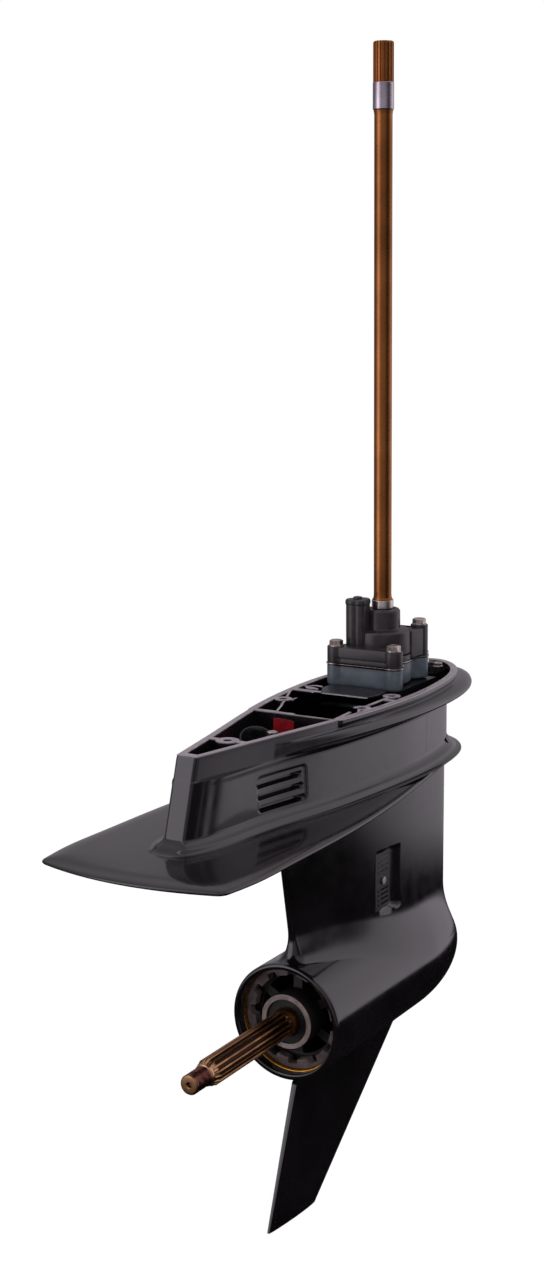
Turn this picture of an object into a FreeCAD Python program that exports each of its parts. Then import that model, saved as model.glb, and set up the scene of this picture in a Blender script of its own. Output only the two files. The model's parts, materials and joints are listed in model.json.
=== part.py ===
import FreeCAD, Part
import math
import os

import Sketcher
from FreeCAD import Placement, Rotation, Vector

# Outboard lower unit: cast gear housing, water pump, driveshaft, gears, dog clutch and propeller shaft.
# Millimetres. +X is starboard, +Y is forward, +Z is up.
# The origin is where the driveshaft's axis crosses the machined deck.

SIZES = {
    # Deck outline, seen from above
    "snout_reach": 375.0,
    "snout_half": 10.5,
    "snout_rake": 26.0,
    "deck_widest": -35.0,
    "deck_half": 65.0,
    "bow_reach": 128.0,
    "body_half": 61.0,
    "body_setback": 21.0,
    "wall": 6.0,
    "rim_band": 14.0,
    "body_depth": 86.0,
    # Splash lip under the rim
    "lip_half": 76.0,
    "lip_lead": 36.0,
    "lip_top": -9.0,
    "lip_droop": 7.0,
    "lip_thick": 5.0,
    # Anti-ventilation plate and the bead round the strut
    "plate_rear": 466.0,
    "plate_stern_bow": 17.0,
    "plate_tip_half": 96.0,
    "plate_half": 102.0,
    "plate_widest": -370.0,
    "plate_setback": 17.0,
    "cove_rise": 17.0,
    "cove_spread": 11.0,
    "plate_top": -82.0,
    "plate_thick": 7.0,
    "plate_slope": 4.0,
    "bead_drop": 24.0,
    # Strut
    "strut_half": 43.0,
    "strut_setback": 14.0,
    "strut_rear_top": 221.0,
    "strut_rear_low": 177.0,
    # Torpedo and skeg
    "axis_drop": 309.2,
    "torpedo_radius": 60.35,
    "torpedo_rear": 207.5,
    "nose_room": 24.0,
    "shaft_tunnel": 19.0,
    "nose_lead": 9.0,
    "nose_length": 128.0,
    "skeg_root_front": 60.0,
    "skeg_root_rear": 183.0,
    "skeg_tip_front": 149.0,
    "skeg_tip_rear": 243.0,
    "skeg_bottom": 519.0,
    "skeg_toe_drop": 6.5,
    "skeg_root_thick": 15.0,
    "skeg_tip_thick": 6.0,
    # Deck chambers
    "rear_boss_y": -306.0,
    "rear_boss_radius": 11.0,
    "cross_rib_y": -184.0,
    "pump_wall_y": -84.0,
    "rib_thick": 7.0,
    "rear_floor": 50.0,
    "chamber_floor": 74.0,
    "tray_floor": 34.0,
    "deck_stud_x": 45.0,
    "deck_stud_rear_y": -129.0,
    "deck_stud_front_y": -66.0,
    "deck_stud_hole": 4.25,
    "stud_boss_radius": 9.0,
    "stud_depth": 30.0,
    "guide_half": 26.5,
    "guide_top": -3.5,
    "guide_bore": 6.0,
    "chamber_fitting_x": 14.0,
    # Side slots of the exhaust chamber
    "slot_length": 60.0,
    "slot_height": 4.0,
    "slot_y": -270.0,
    "slot_top": -40.0,
    "slot_pitch": 12.0,
    "slot_count": 3,
    # Fits
    "fit_gap": 0.02,
    "run_gap": 0.05,
    "loose_gap": 0.3,
    # Driveshaft
    "shaft_radius": 9.2,
    "shaft_top": 645.8,
    "top_spline_radius": 10.4,
    "top_spline_depth": 1.3,
    "top_spline_length": 39.1,
    "ground_band_radius": 10.68,
    "ground_band_length": 26.4,
    "top_spline_count": 17,
    "bearing_journal": 12.5,
    "needle_journal": 11.0,
    "pinion_seat": 8.5,
    # Water pump
    "pump_seat": -2.0,
    "base_height": 23.0,
    "pump_half": 35.0,
    "pump_rear": 50.0,
    "pump_front": 43.0,
    "gasket_thick": 0.8,
    "plate_gauge": 1.2,
    "spigot_radius": 28.2,
    "spigot_depth": 38.0,
    "rear_bolt_x": 33.6,
    "rear_bolt_y": -39.0,
    "front_bolt_x": 25.0,
    "front_bolt_y": 35.0,
    "rear_bolt_seat": 38.0,
    "front_bolt_seat": 56.0,
    "bolt_radius": 3.0,
    "bolt_head": 6.4,
    "bolt_head_height": 5.0,
    "column_radius": 9.0,
    "drum_radius": 29.0,
    "drum_top": 54.0,
    "hub_radius": 14.8,
    "hub_top": 76.5,
    "tower_x": -16.5,
    "tower_y": -22.0,
    "tower_width": 19.0,
    "tower_length": 22.0,
    "tower_top": 82.0,
    "tower_bore": 6.5,
    "tower_bore_depth": 34.0,
    "impeller_radius": 22.6,
    "impeller_height": 16.0,
    "liner_wall": 1.2,
    "collar_radius": 11.6,
    "collar_height": 8.0,
    # Gears: modules and tooth counts set both bevel pairs
    "gear_module": 3.0,
    "pinion_teeth": 14,
    "gear_teeth": 28,
    "face_width": 14.0,
    "gear_back": 15.0,
    # Dog clutch and shift
    "clutch_shaft": 13.0,
    "jaw_outer": 22.0,
    "jaw_inner": 15.5,
    "jaw_count": 8,
    "jaw_height": 3.4,
    "jaw_gap": 3.0,
    "shift_travel": 5.7,
    "spool_rod": 5.5,
    "spool_flange": 11.5,
    "cross_pin": 3.0,
    "shift_setback": 28.0,
    "shift_shaft": 4.5,
    "shift_end": 4.0,
    "crank_throw": 11.4,
    "crank_pin": 2.5,
    "bushing_radius": 9.8,
    "bushing_height": 7.0,
    "bushing_screw_x": 15.5,
    "bushing_screw": 2.5,
    # Tapered bearings
    "forward_cup": 36.0,
    "forward_cone_bore": 20.0,
    "upper_cup": 28.0,
    "bearing_width": 20.0,
    "reverse_cup": 40.0,
    "roller_count": 12,
    "needle_count": 14,
    # Propeller shaft and carrier
    "prop_journal": 15.0,
    "prop_spline_radius": 13.6,
    "prop_spline_depth": 2.0,
    "prop_spline_count": 15,
    "prop_spline_front": 215.0,
    "prop_spline_rear": 348.6,
    "prop_thread_radius": 9.75,
    "prop_end": 380.2,
    "cotter_hole": 2.6,
    "cotter_y": 371.0,
    "carrier_bore": 50.0,
    "carrier_face": 205.0,
    "carrier_hub": 28.0,
    "seal_bore": 23.0,
    "rim_recess": 17.0,
    "nut_radius": 53.6,
    "nut_inner": 44.0,
    "nut_notch": 4.0,
    "nut_notches": 12,
    "nut_thick": 8.0,
    "rim_bore": 54.0,
    "lock_washer": 1.4,
    # Water inlets
    "inlet_y": -66.0,
    "inlet_z": -196.0,
    "inlet_length": 62.0,
    "inlet_width": 32.0,
    "grille_thick": 3.0,
    "inlet_face": 35.4,
    "inlet_screw": 2.0,
    "scoop_length": 16.0,
    "scoop_depth": 6.6,
}

doc = FreeCAD.newDocument("LowerUnit")
sheet = doc.addObject("Spreadsheet::Sheet", "Sizes")
for row, (alias, number) in enumerate(SIZES.items(), start=1):
    sheet.set(f"A{row}", alias)
    sheet.set(f"B{row}", str(number))
    sheet.setAlias(f"B{row}", alias)
doc.recompute()


class Size:
    """A number together with the sheet formula that it comes from."""

    def __init__(self, value, formula):
        self.value = float(value)
        self.formula = formula

    def __add__(self, other):
        other = as_size(other)
        return Size(self.value + other.value, f"({self.formula} + {other.formula})")

    def __sub__(self, other):
        other = as_size(other)
        return Size(self.value - other.value, f"({self.formula} - {other.formula})")

    def __mul__(self, other):
        other = as_size(other)
        return Size(self.value * other.value, f"({self.formula} * {other.formula})")

    def __truediv__(self, other):
        other = as_size(other)
        return Size(self.value / other.value, f"({self.formula} / {other.formula})")

    def __neg__(self):
        return Size(-self.value, f"(0 - {self.formula})")

    def __radd__(self, other):
        return as_size(other) + self

    def __rsub__(self, other):
        return as_size(other) - self

    def __rmul__(self, other):
        return as_size(other) * self


def as_size(number):
    if isinstance(number, Size):
        return number
    return Size(number, f"{float(number):.6f}")


class Sheet:
    """Each alias of the spreadsheet as a Size, read back from its cell."""

    def __getattr__(self, alias):
        return Size(sheet.get(alias), f"Sizes.{alias}")


S = Sheet()
pieces = []


def read(number):
    return as_size(number).value


def bind(thing, prop, number):
    thing.setExpression(prop, as_size(number).formula)


def keep(thing, label):
    """Register a finished sub-part under the name of its file."""
    thing.Label = label
    pieces.append(thing)
    return thing


def set_place(thing, at, turn=None):
    base = Vector(*[read(value) for value in at])
    thing.Placement = Placement(base, turn or Rotation())
    for axis, value in zip("xyz", at):
        bind(thing, f"Placement.Base.{axis}", value)
    return thing


TURNS = {
    "+Z": Rotation(),
    "-Z": Rotation(Vector(1, 0, 0), 180),
    "+Y": Rotation(Vector(1, 0, 0), -90),
    "-Y": Rotation(Vector(1, 0, 0), 90),
    "+X": Rotation(Vector(0, 1, 0), 90),
    "-X": Rotation(Vector(0, 1, 0), -90),
}


def cylinder(name, radius, length, at, along="+Z"):
    thing = doc.addObject("Part::Cylinder", name)
    bind(thing, "Radius", radius)
    bind(thing, "Height", length)
    return set_place(thing, at, TURNS[along])


def block(name, low, high):
    thing = doc.addObject("Part::Box", name)
    spans = [as_size(b) - as_size(a) for a, b in zip(low, high)]
    for prop, span in zip(("Length", "Width", "Height"), spans):
        bind(thing, prop, span)
    return set_place(thing, low)


def prism(name, radius, length, at, along="+Z", sides=6):
    thing = doc.addObject("Part::Prism", name)
    thing.Polygon = sides
    bind(thing, "Circumradius", radius)
    bind(thing, "Height", length)
    return set_place(thing, at, TURNS[along])


def fuse(name, things):
    if len(things) == 1:
        return things[0]
    thing = doc.addObject("Part::MultiFuse", name)
    thing.Shapes = things
    thing.Refine = True
    return thing


def cut(name, base, tools):
    """Take the tools away one after another, because each single cut is the sounder operation."""
    for number, tool in enumerate(tools):
        thing = doc.addObject("Part::Cut", f"{name}_{number}")
        thing.Base = base
        thing.Tool = tool
        thing.Refine = False
        base = thing
    return base


def group(name, things):
    thing = doc.addObject("Part::Compound", name)
    thing.Links = things
    return thing


def solid_feature(name, shape):
    thing = doc.addObject("Part::Feature", name)
    thing.Shape = shape
    return thing


def origin_plane(body, role):
    return next(plane for plane in body.Origin.OriginFeatures if plane.Role == role)


def new_sketch(body, name, role, offset=None):
    sketch = body.newObject("Sketcher::SketchObject", name)
    sketch.AttachmentSupport = [(origin_plane(body, role), "")]
    sketch.MapMode = "FlatFace"
    if offset is not None:
        bind(sketch, "AttachmentOffset.Base.z", offset)
    return sketch


def pin_point(sketch, edge, x, y):
    """Tie the start of an edge to its two coordinates in the sheet."""
    for kind, axis, number in (("DistanceX", -2, as_size(x)), ("DistanceY", -1, as_size(y))):
        if number.value == 0:
            sketch.addConstraint(Sketcher.Constraint("PointOnObject", edge, 1, axis))
        else:
            index = sketch.addConstraint(Sketcher.Constraint(kind, -1, 1, edge, 1, number.value))
            sketch.setExpression(f"Constraints[{index}]", number.formula)


def draw_polygon(sketch, corners):
    points = [Vector(read(x), read(y), 0) for x, y in corners]
    first = sketch.GeometryCount
    count = len(points)
    for i in range(count):
        sketch.addGeometry(Part.LineSegment(points[i], points[(i + 1) % count]), False)
    for i in range(count):
        following = first + (i + 1) % count
        sketch.addConstraint(Sketcher.Constraint("Coincident", first + i, 2, following, 1))
    for i, (x, y) in enumerate(corners):
        pin_point(sketch, first + i, x, y)


def draw_circle(sketch, radius, x=0, y=0):
    edge = sketch.addGeometry(Part.Circle(Vector(read(x), read(y), 0), Vector(0, 0, 1), read(radius)), False)
    index = sketch.addConstraint(Sketcher.Constraint("Radius", edge, read(radius)))
    sketch.setExpression(f"Constraints[{index}]", as_size(radius).formula)
    for kind, axis, number in (("DistanceX", -2, as_size(x)), ("DistanceY", -1, as_size(y))):
        if number.value == 0:
            sketch.addConstraint(Sketcher.Constraint("PointOnObject", edge, 3, axis))
        else:
            index = sketch.addConstraint(Sketcher.Constraint(kind, -1, 1, edge, 3, number.value))
            sketch.setExpression(f"Constraints[{index}]", number.formula)


def turned(name, profile, line="shaft"):
    """A revolved body; the profile is radius and position along the line."""
    body = doc.addObject("PartDesign::Body", name)
    role = "XZ_Plane" if line == "shaft" else "XY_Plane"
    sketch = new_sketch(body, name + "_profile", role)
    draw_polygon(sketch, profile)
    revolution = body.newObject("PartDesign::Revolution", name + "_turn")
    revolution.Profile = sketch
    revolution.ReferenceAxis = (sketch, ["V_Axis"])
    revolution.Angle = 360
    sketch.Visibility = False
    if line == "prop":
        bind(body, "Placement.Base.z", -S.axis_drop)
    return body


def ring(name, outer, inner, low, high, line="shaft"):
    return turned(name, [(inner, low), (outer, low), (outer, high), (inner, high)], line)


def polar_pocket(body, name, role, offset, corners, depth, count, reverse):
    """A pocket drawn once and repeated round the body's own axis."""
    sketch = new_sketch(body, name + "_sketch", role, offset)
    draw_polygon(sketch, corners)
    pocket = body.newObject("PartDesign::Pocket", name)
    pocket.Profile = sketch
    bind(pocket, "Length", depth)
    pocket.Reversed = reverse
    pattern = body.newObject("PartDesign::PolarPattern", name + "_round")
    pattern.Originals = [pocket]
    axis_role = "Z_Axis" if role == "XY_Plane" else "Y_Axis"
    pattern.Axis = (origin_plane(body, axis_role), [""])
    pattern.Angle = 360
    bind(pattern, "Occurrences", count)
    body.Tip = pattern
    return pattern


def polar_copies(shape, count, centre, direction, first=0.0):
    step = 360.0 / count
    copies = []
    for i in range(count):
        copy = shape.copy()
        copy.rotate(centre, direction, first + i * step)
        copies.append(copy)
    return copies


# Places that follow the bow

body_bow = S.bow_reach - S.body_setback
lip_bow = S.bow_reach + S.lip_lead
plate_bow = S.bow_reach - S.plate_setback
strut_front = S.bow_reach - S.strut_setback
torpedo_nose = S.bow_reach + S.nose_lead
shift_y = S.bow_reach - S.shift_setback

# Outlines of the casting

AFT_SHARES = [(0.0, 0.0), (0.28, 0.36), (0.53, 0.70), (0.735, 0.905), (0.87, 0.98), (1.0, 1.0)]
BOW_SHARES = [(0.33, 0.935), (0.66, 0.76), (0.86, 0.50), (0.965, 0.235), (1.0, 0.0)]


def side_points(rear_y, widest_y, bow_y, rear_half, half, aft=AFT_SHARES, bow=BOW_SHARES):
    """Starboard side of a plan outline, from the rear corner to the bow."""
    points = [(rear_half + w * (half - rear_half), rear_y + t * (widest_y - rear_y)) for t, w in aft]
    points += [(w * half, widest_y + t * (bow_y - widest_y)) for t, w in bow]
    return points


def smooth_edge(points, z, tangents):
    curve = Part.BSplineCurve()
    places = [Vector(x, y, z) for x, y in points]
    curve.interpolate(Points=places, InitialTangent=tangents[0], FinalTangent=tangents[1], Scale=False)
    return curve.toShape()


def outline_wire(points, z, stern_bow=0.0):
    """Closed wire: a stern edge and two mirrored sides that meet square to the bow."""
    lead = Vector(points[1][0] - points[0][0], points[1][1] - points[0][1], 0)
    lead.normalize()
    port = Vector(-points[0][0], points[0][1], z)
    starboard = Vector(points[0][0], points[0][1], z)
    if stern_bow:
        stern = Part.Arc(port, Vector(0, points[0][1] - stern_bow, z), starboard).toShape()
    else:
        stern = Part.makeLine(port, starboard)
    right = smooth_edge(points, z, (lead, Vector(-1, 0, 0)))
    mirrored = [(-x, y) for x, y in reversed(points)]
    left = smooth_edge(mirrored, z, (Vector(-1, 0, 0), Vector(lead.x, -lead.y, 0)))
    return Part.Wire([stern, right, left])


def slab(points, low, high):
    wire = outline_wire(points, low)
    return Part.Face(wire).extrude(Vector(0, 0, high - low))


def box_shape(low, high):
    spans = [b - a for a, b in zip(low, high)]
    return Part.makeBox(*spans, Vector(*low))


def pipe_shape(radius, start, end):
    way = Vector(*end) - Vector(*start)
    return Part.makeCylinder(radius, way.Length, Vector(*start), way)


def deck_points(inset=0.0, rake=0.0):
    rear = -S.snout_reach.value - rake + inset
    half = S.deck_half.value - inset
    bow = S.bow_reach.value - inset
    return side_points(rear, S.deck_widest.value, bow, S.snout_half.value - inset * 0.9, half)


def body_points(rake, spread=0.0):
    """Outline of the body under the rim, narrower than the deck and shorter at the bow."""
    return side_points(-S.snout_reach.value - rake, S.deck_widest.value, body_bow.value + spread * 0.4,
                       S.snout_half.value - 1.0 + spread * 0.4, S.body_half.value + spread)


def body_shell():
    """Deck rim band over a slightly narrower body, raked aft at the snout."""
    rim_low = -S.rim_band.value
    low = -S.body_depth.value
    rake = S.snout_rake.value
    rim_rake = rake * S.rim_band.value / S.body_depth.value
    band = Part.makeLoft(
        [outline_wire(deck_points(), 0.0), outline_wire(deck_points(0.0, rim_rake), rim_low)], True, True)
    lower = Part.makeLoft(
        [outline_wire(body_points(rim_rake * 0.93), rim_low + 1.0), outline_wire(body_points(rake), low)],
        True, True)
    return band.fuse(lower)


LIP_AFT = [(0.0, 0.0), (0.3, 0.36), (0.55, 0.69), (0.76, 0.90), (0.9, 0.98), (1.0, 1.0)]
LIP_BOW = [(0.32, 0.965), (0.62, 0.80), (0.83, 0.54), (0.96, 0.26), (1.0, 0.0)]


def splash_lip():
    """Thin brim that stands out under the rim and droops to its edge."""
    rear = -S.snout_reach.value + S.rim_band.value
    top = side_points(rear, S.deck_widest.value, lip_bow.value - 8.0,
                      S.snout_half.value, S.lip_half.value - 5.0, LIP_AFT, LIP_BOW)
    edge = side_points(rear, S.deck_widest.value, lip_bow.value,
                       S.snout_half.value, S.lip_half.value, LIP_AFT, LIP_BOW)
    high = S.lip_top.value
    middle = high - S.lip_droop.value
    low = middle - S.lip_thick.value
    upper = Part.makeLoft([outline_wire(top, high), outline_wire(edge, middle)], True, True)
    lower = Part.makeLoft([outline_wire(edge, middle), outline_wire(top, low)], True, True)
    return upper.fuse(lower)


PLATE_AFT = [(0.0, 0.0), (0.4, 0.85), (1.0, 1.0)]
PLATE_BOW = [(0.19, 0.99), (0.365, 0.94), (0.575, 0.815), (0.695, 0.715),
             (0.77, 0.625), (0.87, 0.43), (0.96, 0.215), (1.0, 0.0)]


def plate_points(inset=0.0):
    return side_points(-S.plate_rear.value + inset, S.plate_widest.value, plate_bow.value - inset,
                       S.plate_tip_half.value - inset, S.plate_half.value - inset, PLATE_AFT, PLATE_BOW)


def plate_and_bead():
    """Wide flat plate with bevelled edges, and a bead that carries it round the strut."""
    top = S.plate_top.value
    low = top - S.plate_thick.value
    bevel = S.plate_thick.value * 0.2
    slope = S.plate_slope.value
    bow = S.plate_stern_bow.value
    levels = [(slope * 4.0, top), (0.0, top - slope), (0.0, low + bevel), (bevel, low)]
    plate = Part.makeLoft([outline_wire(plate_points(inset), z, bow) for inset, z in levels], True, True)
    spread = S.cove_spread.value
    rise = S.cove_rise.value
    cove = Part.makeLoft(
        [outline_wire(body_points(S.snout_rake.value * (1 - rise / S.body_depth.value) - 3.0, -1.5), top + rise),
         outline_wire(body_points(S.snout_rake.value + 3.0, spread * 0.4), top + rise * 0.4),
         outline_wire(body_points(S.snout_rake.value + 8.0, spread), top - 1.0)], True, True)
    bead_low = low - S.bead_drop.value
    bead = Part.makeLoft(
        [outline_wire(strut_points(low, 10.0), low + 1.0), outline_wire(strut_points(bead_low, -2.0), bead_low)],
        True, True)
    return plate.fuse([cove, bead])


STRUT_AFT = [(0.0, 0.0), (0.12, 0.17), (0.32, 0.44), (0.56, 0.76), (0.78, 0.945), (1.0, 1.0)]
STRUT_BOW = [(0.36, 0.965), (0.66, 0.80), (0.86, 0.55), (0.965, 0.27), (1.0, 0.0)]


def strut_points(z, grow=0.0):
    """Streamlined section of the strut at a height; its rear edge leans forward going down."""
    top = S.plate_top.value
    low = -S.axis_drop.value
    share = (top - z) / (top - low)
    rear = -S.strut_rear_top.value + share * (S.strut_rear_top.value - S.strut_rear_low.value)
    return side_points(rear - grow, 5.0, strut_front.value + grow, 3.0 + grow * 0.3,
                       S.strut_half.value + grow, STRUT_AFT, STRUT_BOW)


def strut_body():
    levels = [(S.plate_top.value - 2.0, 2.0), (-170.0, 0.0), (-S.axis_drop.value + 55.0, 0.0),
              (-S.axis_drop.value, 6.0)]
    wires = [outline_wire(strut_points(z, grow), z) for z, grow in levels]
    return Part.makeLoft(wires, True, True)


def torpedo_body():
    """Bullet turned about the propeller line: a straight barrel and an elliptic nose in short cones."""
    radius = S.torpedo_radius.value
    rear = -S.torpedo_rear.value
    nose_start = torpedo_nose.value - S.nose_length.value
    lines = [Vector(0, rear, 0), Vector(radius, rear, 0), Vector(radius, nose_start, 0)]
    steps = 12
    for i in range(1, steps):
        angle = math.pi / 2 * i / steps
        lines.append(Vector(radius * math.cos(angle), nose_start + S.nose_length.value * math.sin(angle), 0))
    lines += [Vector(0, torpedo_nose.value, 0), lines[0]]
    shape = Part.Face(Part.makePolygon(lines)).revolve(Vector(0, 0, 0), Vector(0, 1, 0), 360)
    shape.translate(Vector(0, 0, -S.axis_drop.value))
    return shape


def skeg_section(z, rear, front, thick):
    """Blade section: a blunt rear edge, a long taper and a rounded front edge."""
    length = front - rear
    flank = [(0.22, 0.0), (0.36, 0.12), (0.45, 0.28), (0.5, 0.5), (0.46, 0.7), (0.36, 0.85), (0.2, 0.955)]
    right = [Vector(thick * half, rear + length * share, z) for half, share in flank]
    left = [Vector(-point.x, point.y, z) for point in reversed(right)]
    corners = right + [Vector(0, front, z)] + left
    return Part.makePolygon(corners + corners[:1])


def skeg_blade():
    top = -S.axis_drop.value - S.torpedo_radius.value * 0.9
    low = -S.skeg_bottom.value
    tip_rear = -S.skeg_tip_rear.value
    tip_front = -S.skeg_tip_front.value
    toe_angle = math.degrees(math.atan2(S.skeg_toe_drop.value, tip_front - tip_rear))
    tip = skeg_section(low, tip_rear, tip_front, S.skeg_tip_thick.value)
    tip.rotate(Vector(0, tip_rear, low), Vector(1, 0, 0), -toe_angle)
    root = skeg_section(top, -S.skeg_root_rear.value, S.skeg_root_front.value, S.skeg_root_thick.value)
    return Part.makeLoft([root, tip], True, True)


def span_of_deck(low_y, high_y, floor, inset):
    """The part of the deck's inside between two stations, down to a floor."""
    shape = slab(deck_points(inset), floor, 2.0)
    wide = S.deck_half.value
    return shape.common(box_shape((-wide, low_y, floor - 1.0), (wide, high_y, 3.0)))


def gear_cavities():
    """Stepped bore of the torpedo: rim, carrier, gear room, forward bearing seat, nose room."""
    z = -S.axis_drop.value
    seat_low = forward_seat_rear.value
    seat_high = seat_low + S.bearing_width.value + 1.0
    rim_depth = S.rim_recess.value + S.nut_thick.value + S.lock_washer.value + S.fit_gap.value
    runs = [
        (S.rim_bore.value, -S.torpedo_rear.value - 1.0, -S.torpedo_rear.value + rim_depth),
        (S.carrier_bore.value, -S.torpedo_rear.value, seat_low - 1.5),
        (S.forward_cup.value + S.fit_gap.value, seat_low - 2.0, seat_high),
        (S.nose_room.value, seat_high - 1.0, shift_y.value + S.shaft_tunnel.value),
    ]
    shapes = [pipe_shape(radius, (0, start, z), (0, end, z)) for radius, start, end in runs]
    return shapes[0].fuse(shapes[1:])


forward_seat_rear = S.gear_module * S.pinion_teeth / 2 + S.gear_back


def shaft_cavities():
    z_axis = -S.axis_drop.value
    seat_low = bearing_top.value - S.bearing_width.value
    spigot = S.spigot_radius.value + S.fit_gap.value
    runs = [
        (spigot, 0, seat_low, 2.0),
        (S.shaft_tunnel.value, 0, z_axis + S.shaft_tunnel.value, seat_low + 1.0),
        (S.nose_room.value, 0, z_axis + S.shaft_tunnel.value, z_axis + needle_low_rise.value - 1.0),
        (S.shift_shaft.value + S.run_gap.value, shift_y.value, z_axis, 2.0),
    ]
    shapes = [pipe_shape(radius, (0, y, low), (0, y, high)) for radius, y, low, high in runs]
    return shapes[0].fuse(shapes[1:])


needle_low_rise = S.gear_module * S.gear_teeth / 2 + 13.0
needle_height = as_size(24.0)
bearing_top = S.pump_seat - S.spigot_depth


def exhaust_passage():
    top = -S.chamber_floor.value + 2.0
    low = -S.axis_drop.value + S.carrier_bore.value - 8.0
    wires = []
    for z, rear, front, half in ((top, -195.0, -95.0, 15.0), (low, -165.0, -105.0, 11.0)):
        corners = [Vector(-half, rear, z), Vector(half, rear, z), Vector(half, front, z), Vector(-half, front, z)]
        wires.append(Part.makePolygon(corners + corners[:1]))
    return Part.makeLoft(wires, True, True)


def side_slots():
    shapes = []
    half = S.slot_length.value / 2
    for i in range(int(S.slot_count.value)):
        z = S.slot_top.value - i * S.slot_pitch.value
        height = S.slot_height.value / 2
        for side in (-1, 1):
            low_x, high_x = sorted((side * 10.0, side * 60.0))
            shapes.append(box_shape((low_x, S.slot_y.value - half, z - height),
                                    (high_x, S.slot_y.value + half, z + height)))
    return shapes


def inlet_pockets():
    """Stepped window on each side of the strut for the grille, with a scoop that ramps out ahead of it."""
    shapes = []
    half_y = S.inlet_width.value / 2
    half_z = S.inlet_length.value / 2
    gap = S.loose_gap.value
    for side in (-1, 1):
        low_x, high_x = sorted((side * (S.inlet_face.value - S.grille_thick.value), side * 70.0))
        shapes.append(box_shape(
            (low_x, S.inlet_y.value - half_y - gap, S.inlet_z.value - half_z - gap),
            (high_x, S.inlet_y.value + half_y + gap, S.inlet_z.value + half_z + gap)))
        low_x, high_x = sorted((side * 24.0, side * 60.0))
        shapes.append(box_shape(
            (low_x, S.inlet_y.value - half_y + 4.0, S.inlet_z.value - half_z + 5.0),
            (high_x, S.inlet_y.value + half_y - 4.0, S.inlet_z.value - 5.0)))
        shapes.append(box_shape(
            (low_x, S.inlet_y.value - half_y + 4.0, S.inlet_z.value + 5.0),
            (high_x, S.inlet_y.value + half_y - 4.0, S.inlet_z.value + half_z - 5.0)))
        front = S.inlet_y.value + half_y
        face = side * S.inlet_face.value
        rim = face + side * S.scoop_depth.value
        low_z = S.inlet_z.value - half_z - gap
        corners = [Vector(face, front, low_z), Vector(side * 70.0, front, low_z),
                   Vector(side * 70.0, front + S.scoop_length.value, low_z),
                   Vector(rim, front + S.scoop_length.value, low_z)]
        ramp = Part.Face(Part.makePolygon(corners + corners[:1]))
        shapes.append(ramp.extrude(Vector(0, 0, S.inlet_length.value + gap * 2)))
    return shapes


def make_gear_housing():
    outside = body_shell().fuse([splash_lip(), plate_and_bead(), strut_body(), torpedo_body(), skeg_blade()])
    wall = S.wall.value
    half_rib = S.rib_thick.value / 2
    boss_y = S.rear_boss_y.value
    rib_y = S.cross_rib_y.value
    pump_y = S.pump_wall_y.value
    chambers = [
        span_of_deck(-S.snout_reach.value + 10.0, boss_y - half_rib, -S.rear_floor.value, wall),
        span_of_deck(boss_y + half_rib, rib_y - half_rib, -S.chamber_floor.value, wall),
        span_of_deck(rib_y + half_rib, pump_y - half_rib, -S.chamber_floor.value, wall),
        span_of_deck(pump_y + half_rib, S.bow_reach.value, -S.tray_floor.value, wall),
    ]
    shape = outside.cut(chambers)
    deck = 0.0
    seat = S.pump_seat.value
    bosses = [pipe_shape(S.rear_boss_radius.value, (0, boss_y, -S.chamber_floor.value - 1.0), (0, boss_y, deck))]
    for x in (-S.deck_stud_x.value, S.deck_stud_x.value):
        for y in (S.deck_stud_rear_y.value, S.deck_stud_front_y.value):
            bosses.append(pipe_shape(S.stud_boss_radius.value, (x, y, -S.chamber_floor.value - 1.0), (x, y, deck)))
    pedestal_half = S.pump_half.value + 4.0
    bosses.append(box_shape((-pedestal_half, -S.pump_rear.value - 4.0, -S.tray_floor.value - 1.0),
                            (pedestal_half, S.pump_front.value + 4.0, seat)))
    bosses.append(box_shape((-7.0 - half_rib, S.cross_rib_y.value, -S.chamber_floor.value - 1.0),
                            (-7.0, S.cross_rib_y.value + 40.0, deck)))
    bushing_seat = -S.bushing_height.value
    bosses.append(pipe_shape(S.bushing_screw_x.value + 6.0, (0, shift_y.value, -S.tray_floor.value - 1.0),
                             (0, shift_y.value, bushing_seat)))
    inside = slab(deck_points(wall * 0.5), -S.body_depth.value, deck)
    shape = shape.fuse([boss.common(inside) for boss in bosses])
    holes = [pipe_shape(S.deck_stud_hole.value, (0, boss_y, -S.stud_depth.value), (0, boss_y, 2.0))]
    for x in (-S.deck_stud_x.value, S.deck_stud_x.value):
        for y in (S.deck_stud_rear_y.value, S.deck_stud_front_y.value):
            holes.append(pipe_shape(S.deck_stud_hole.value, (x, y, -S.stud_depth.value), (x, y, 2.0)))
    for x, y in pump_bolt_places():
        holes.append(pipe_shape(S.bolt_radius.value + S.fit_gap.value, (x, y, seat - 16.0), (x, y, 2.0)))
    for side in (-1, 1):
        x = side * S.bushing_screw_x.value
        y = shift_y.value
        holes.append(pipe_shape(S.bushing_screw.value + S.fit_gap.value, (x, y, bushing_seat - 12.0),
                                (x, y, bushing_seat + 2.0)))
    shape = shape.cut(holes + [gear_cavities(), shaft_cavities(), exhaust_passage()]
                      + side_slots() + inlet_pockets())
    shape = shape.cut([drain_hole(y) for y in DRAIN_PLACES] + [inlet_screw_hole(side) for side in (-1, 1)])
    solids = sorted(shape.Solids, key=lambda solid: solid.Volume)
    return solids[-1]


def inlet_screw_hole(side):
    face = side * S.inlet_face.value
    y = S.inlet_y.value
    z = S.inlet_z.value
    return pipe_shape(S.inlet_screw.value + S.fit_gap.value, (face, y, z), (face - side * 11.0, y, z))


def pump_bolt_places():
    """Both rear bolts, then both front bolts."""
    rear = (S.rear_bolt_x.value, S.rear_bolt_y.value)
    front = (S.front_bolt_x.value, S.front_bolt_y.value)
    return [(side * x, y) for x, y in (rear, front) for side in (-1, 1)]


DRAIN_PLACES = (-30.0, 40.0)
PLUG_RADIUS = 5.0
PLUG_LENGTH = 13.0


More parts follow.
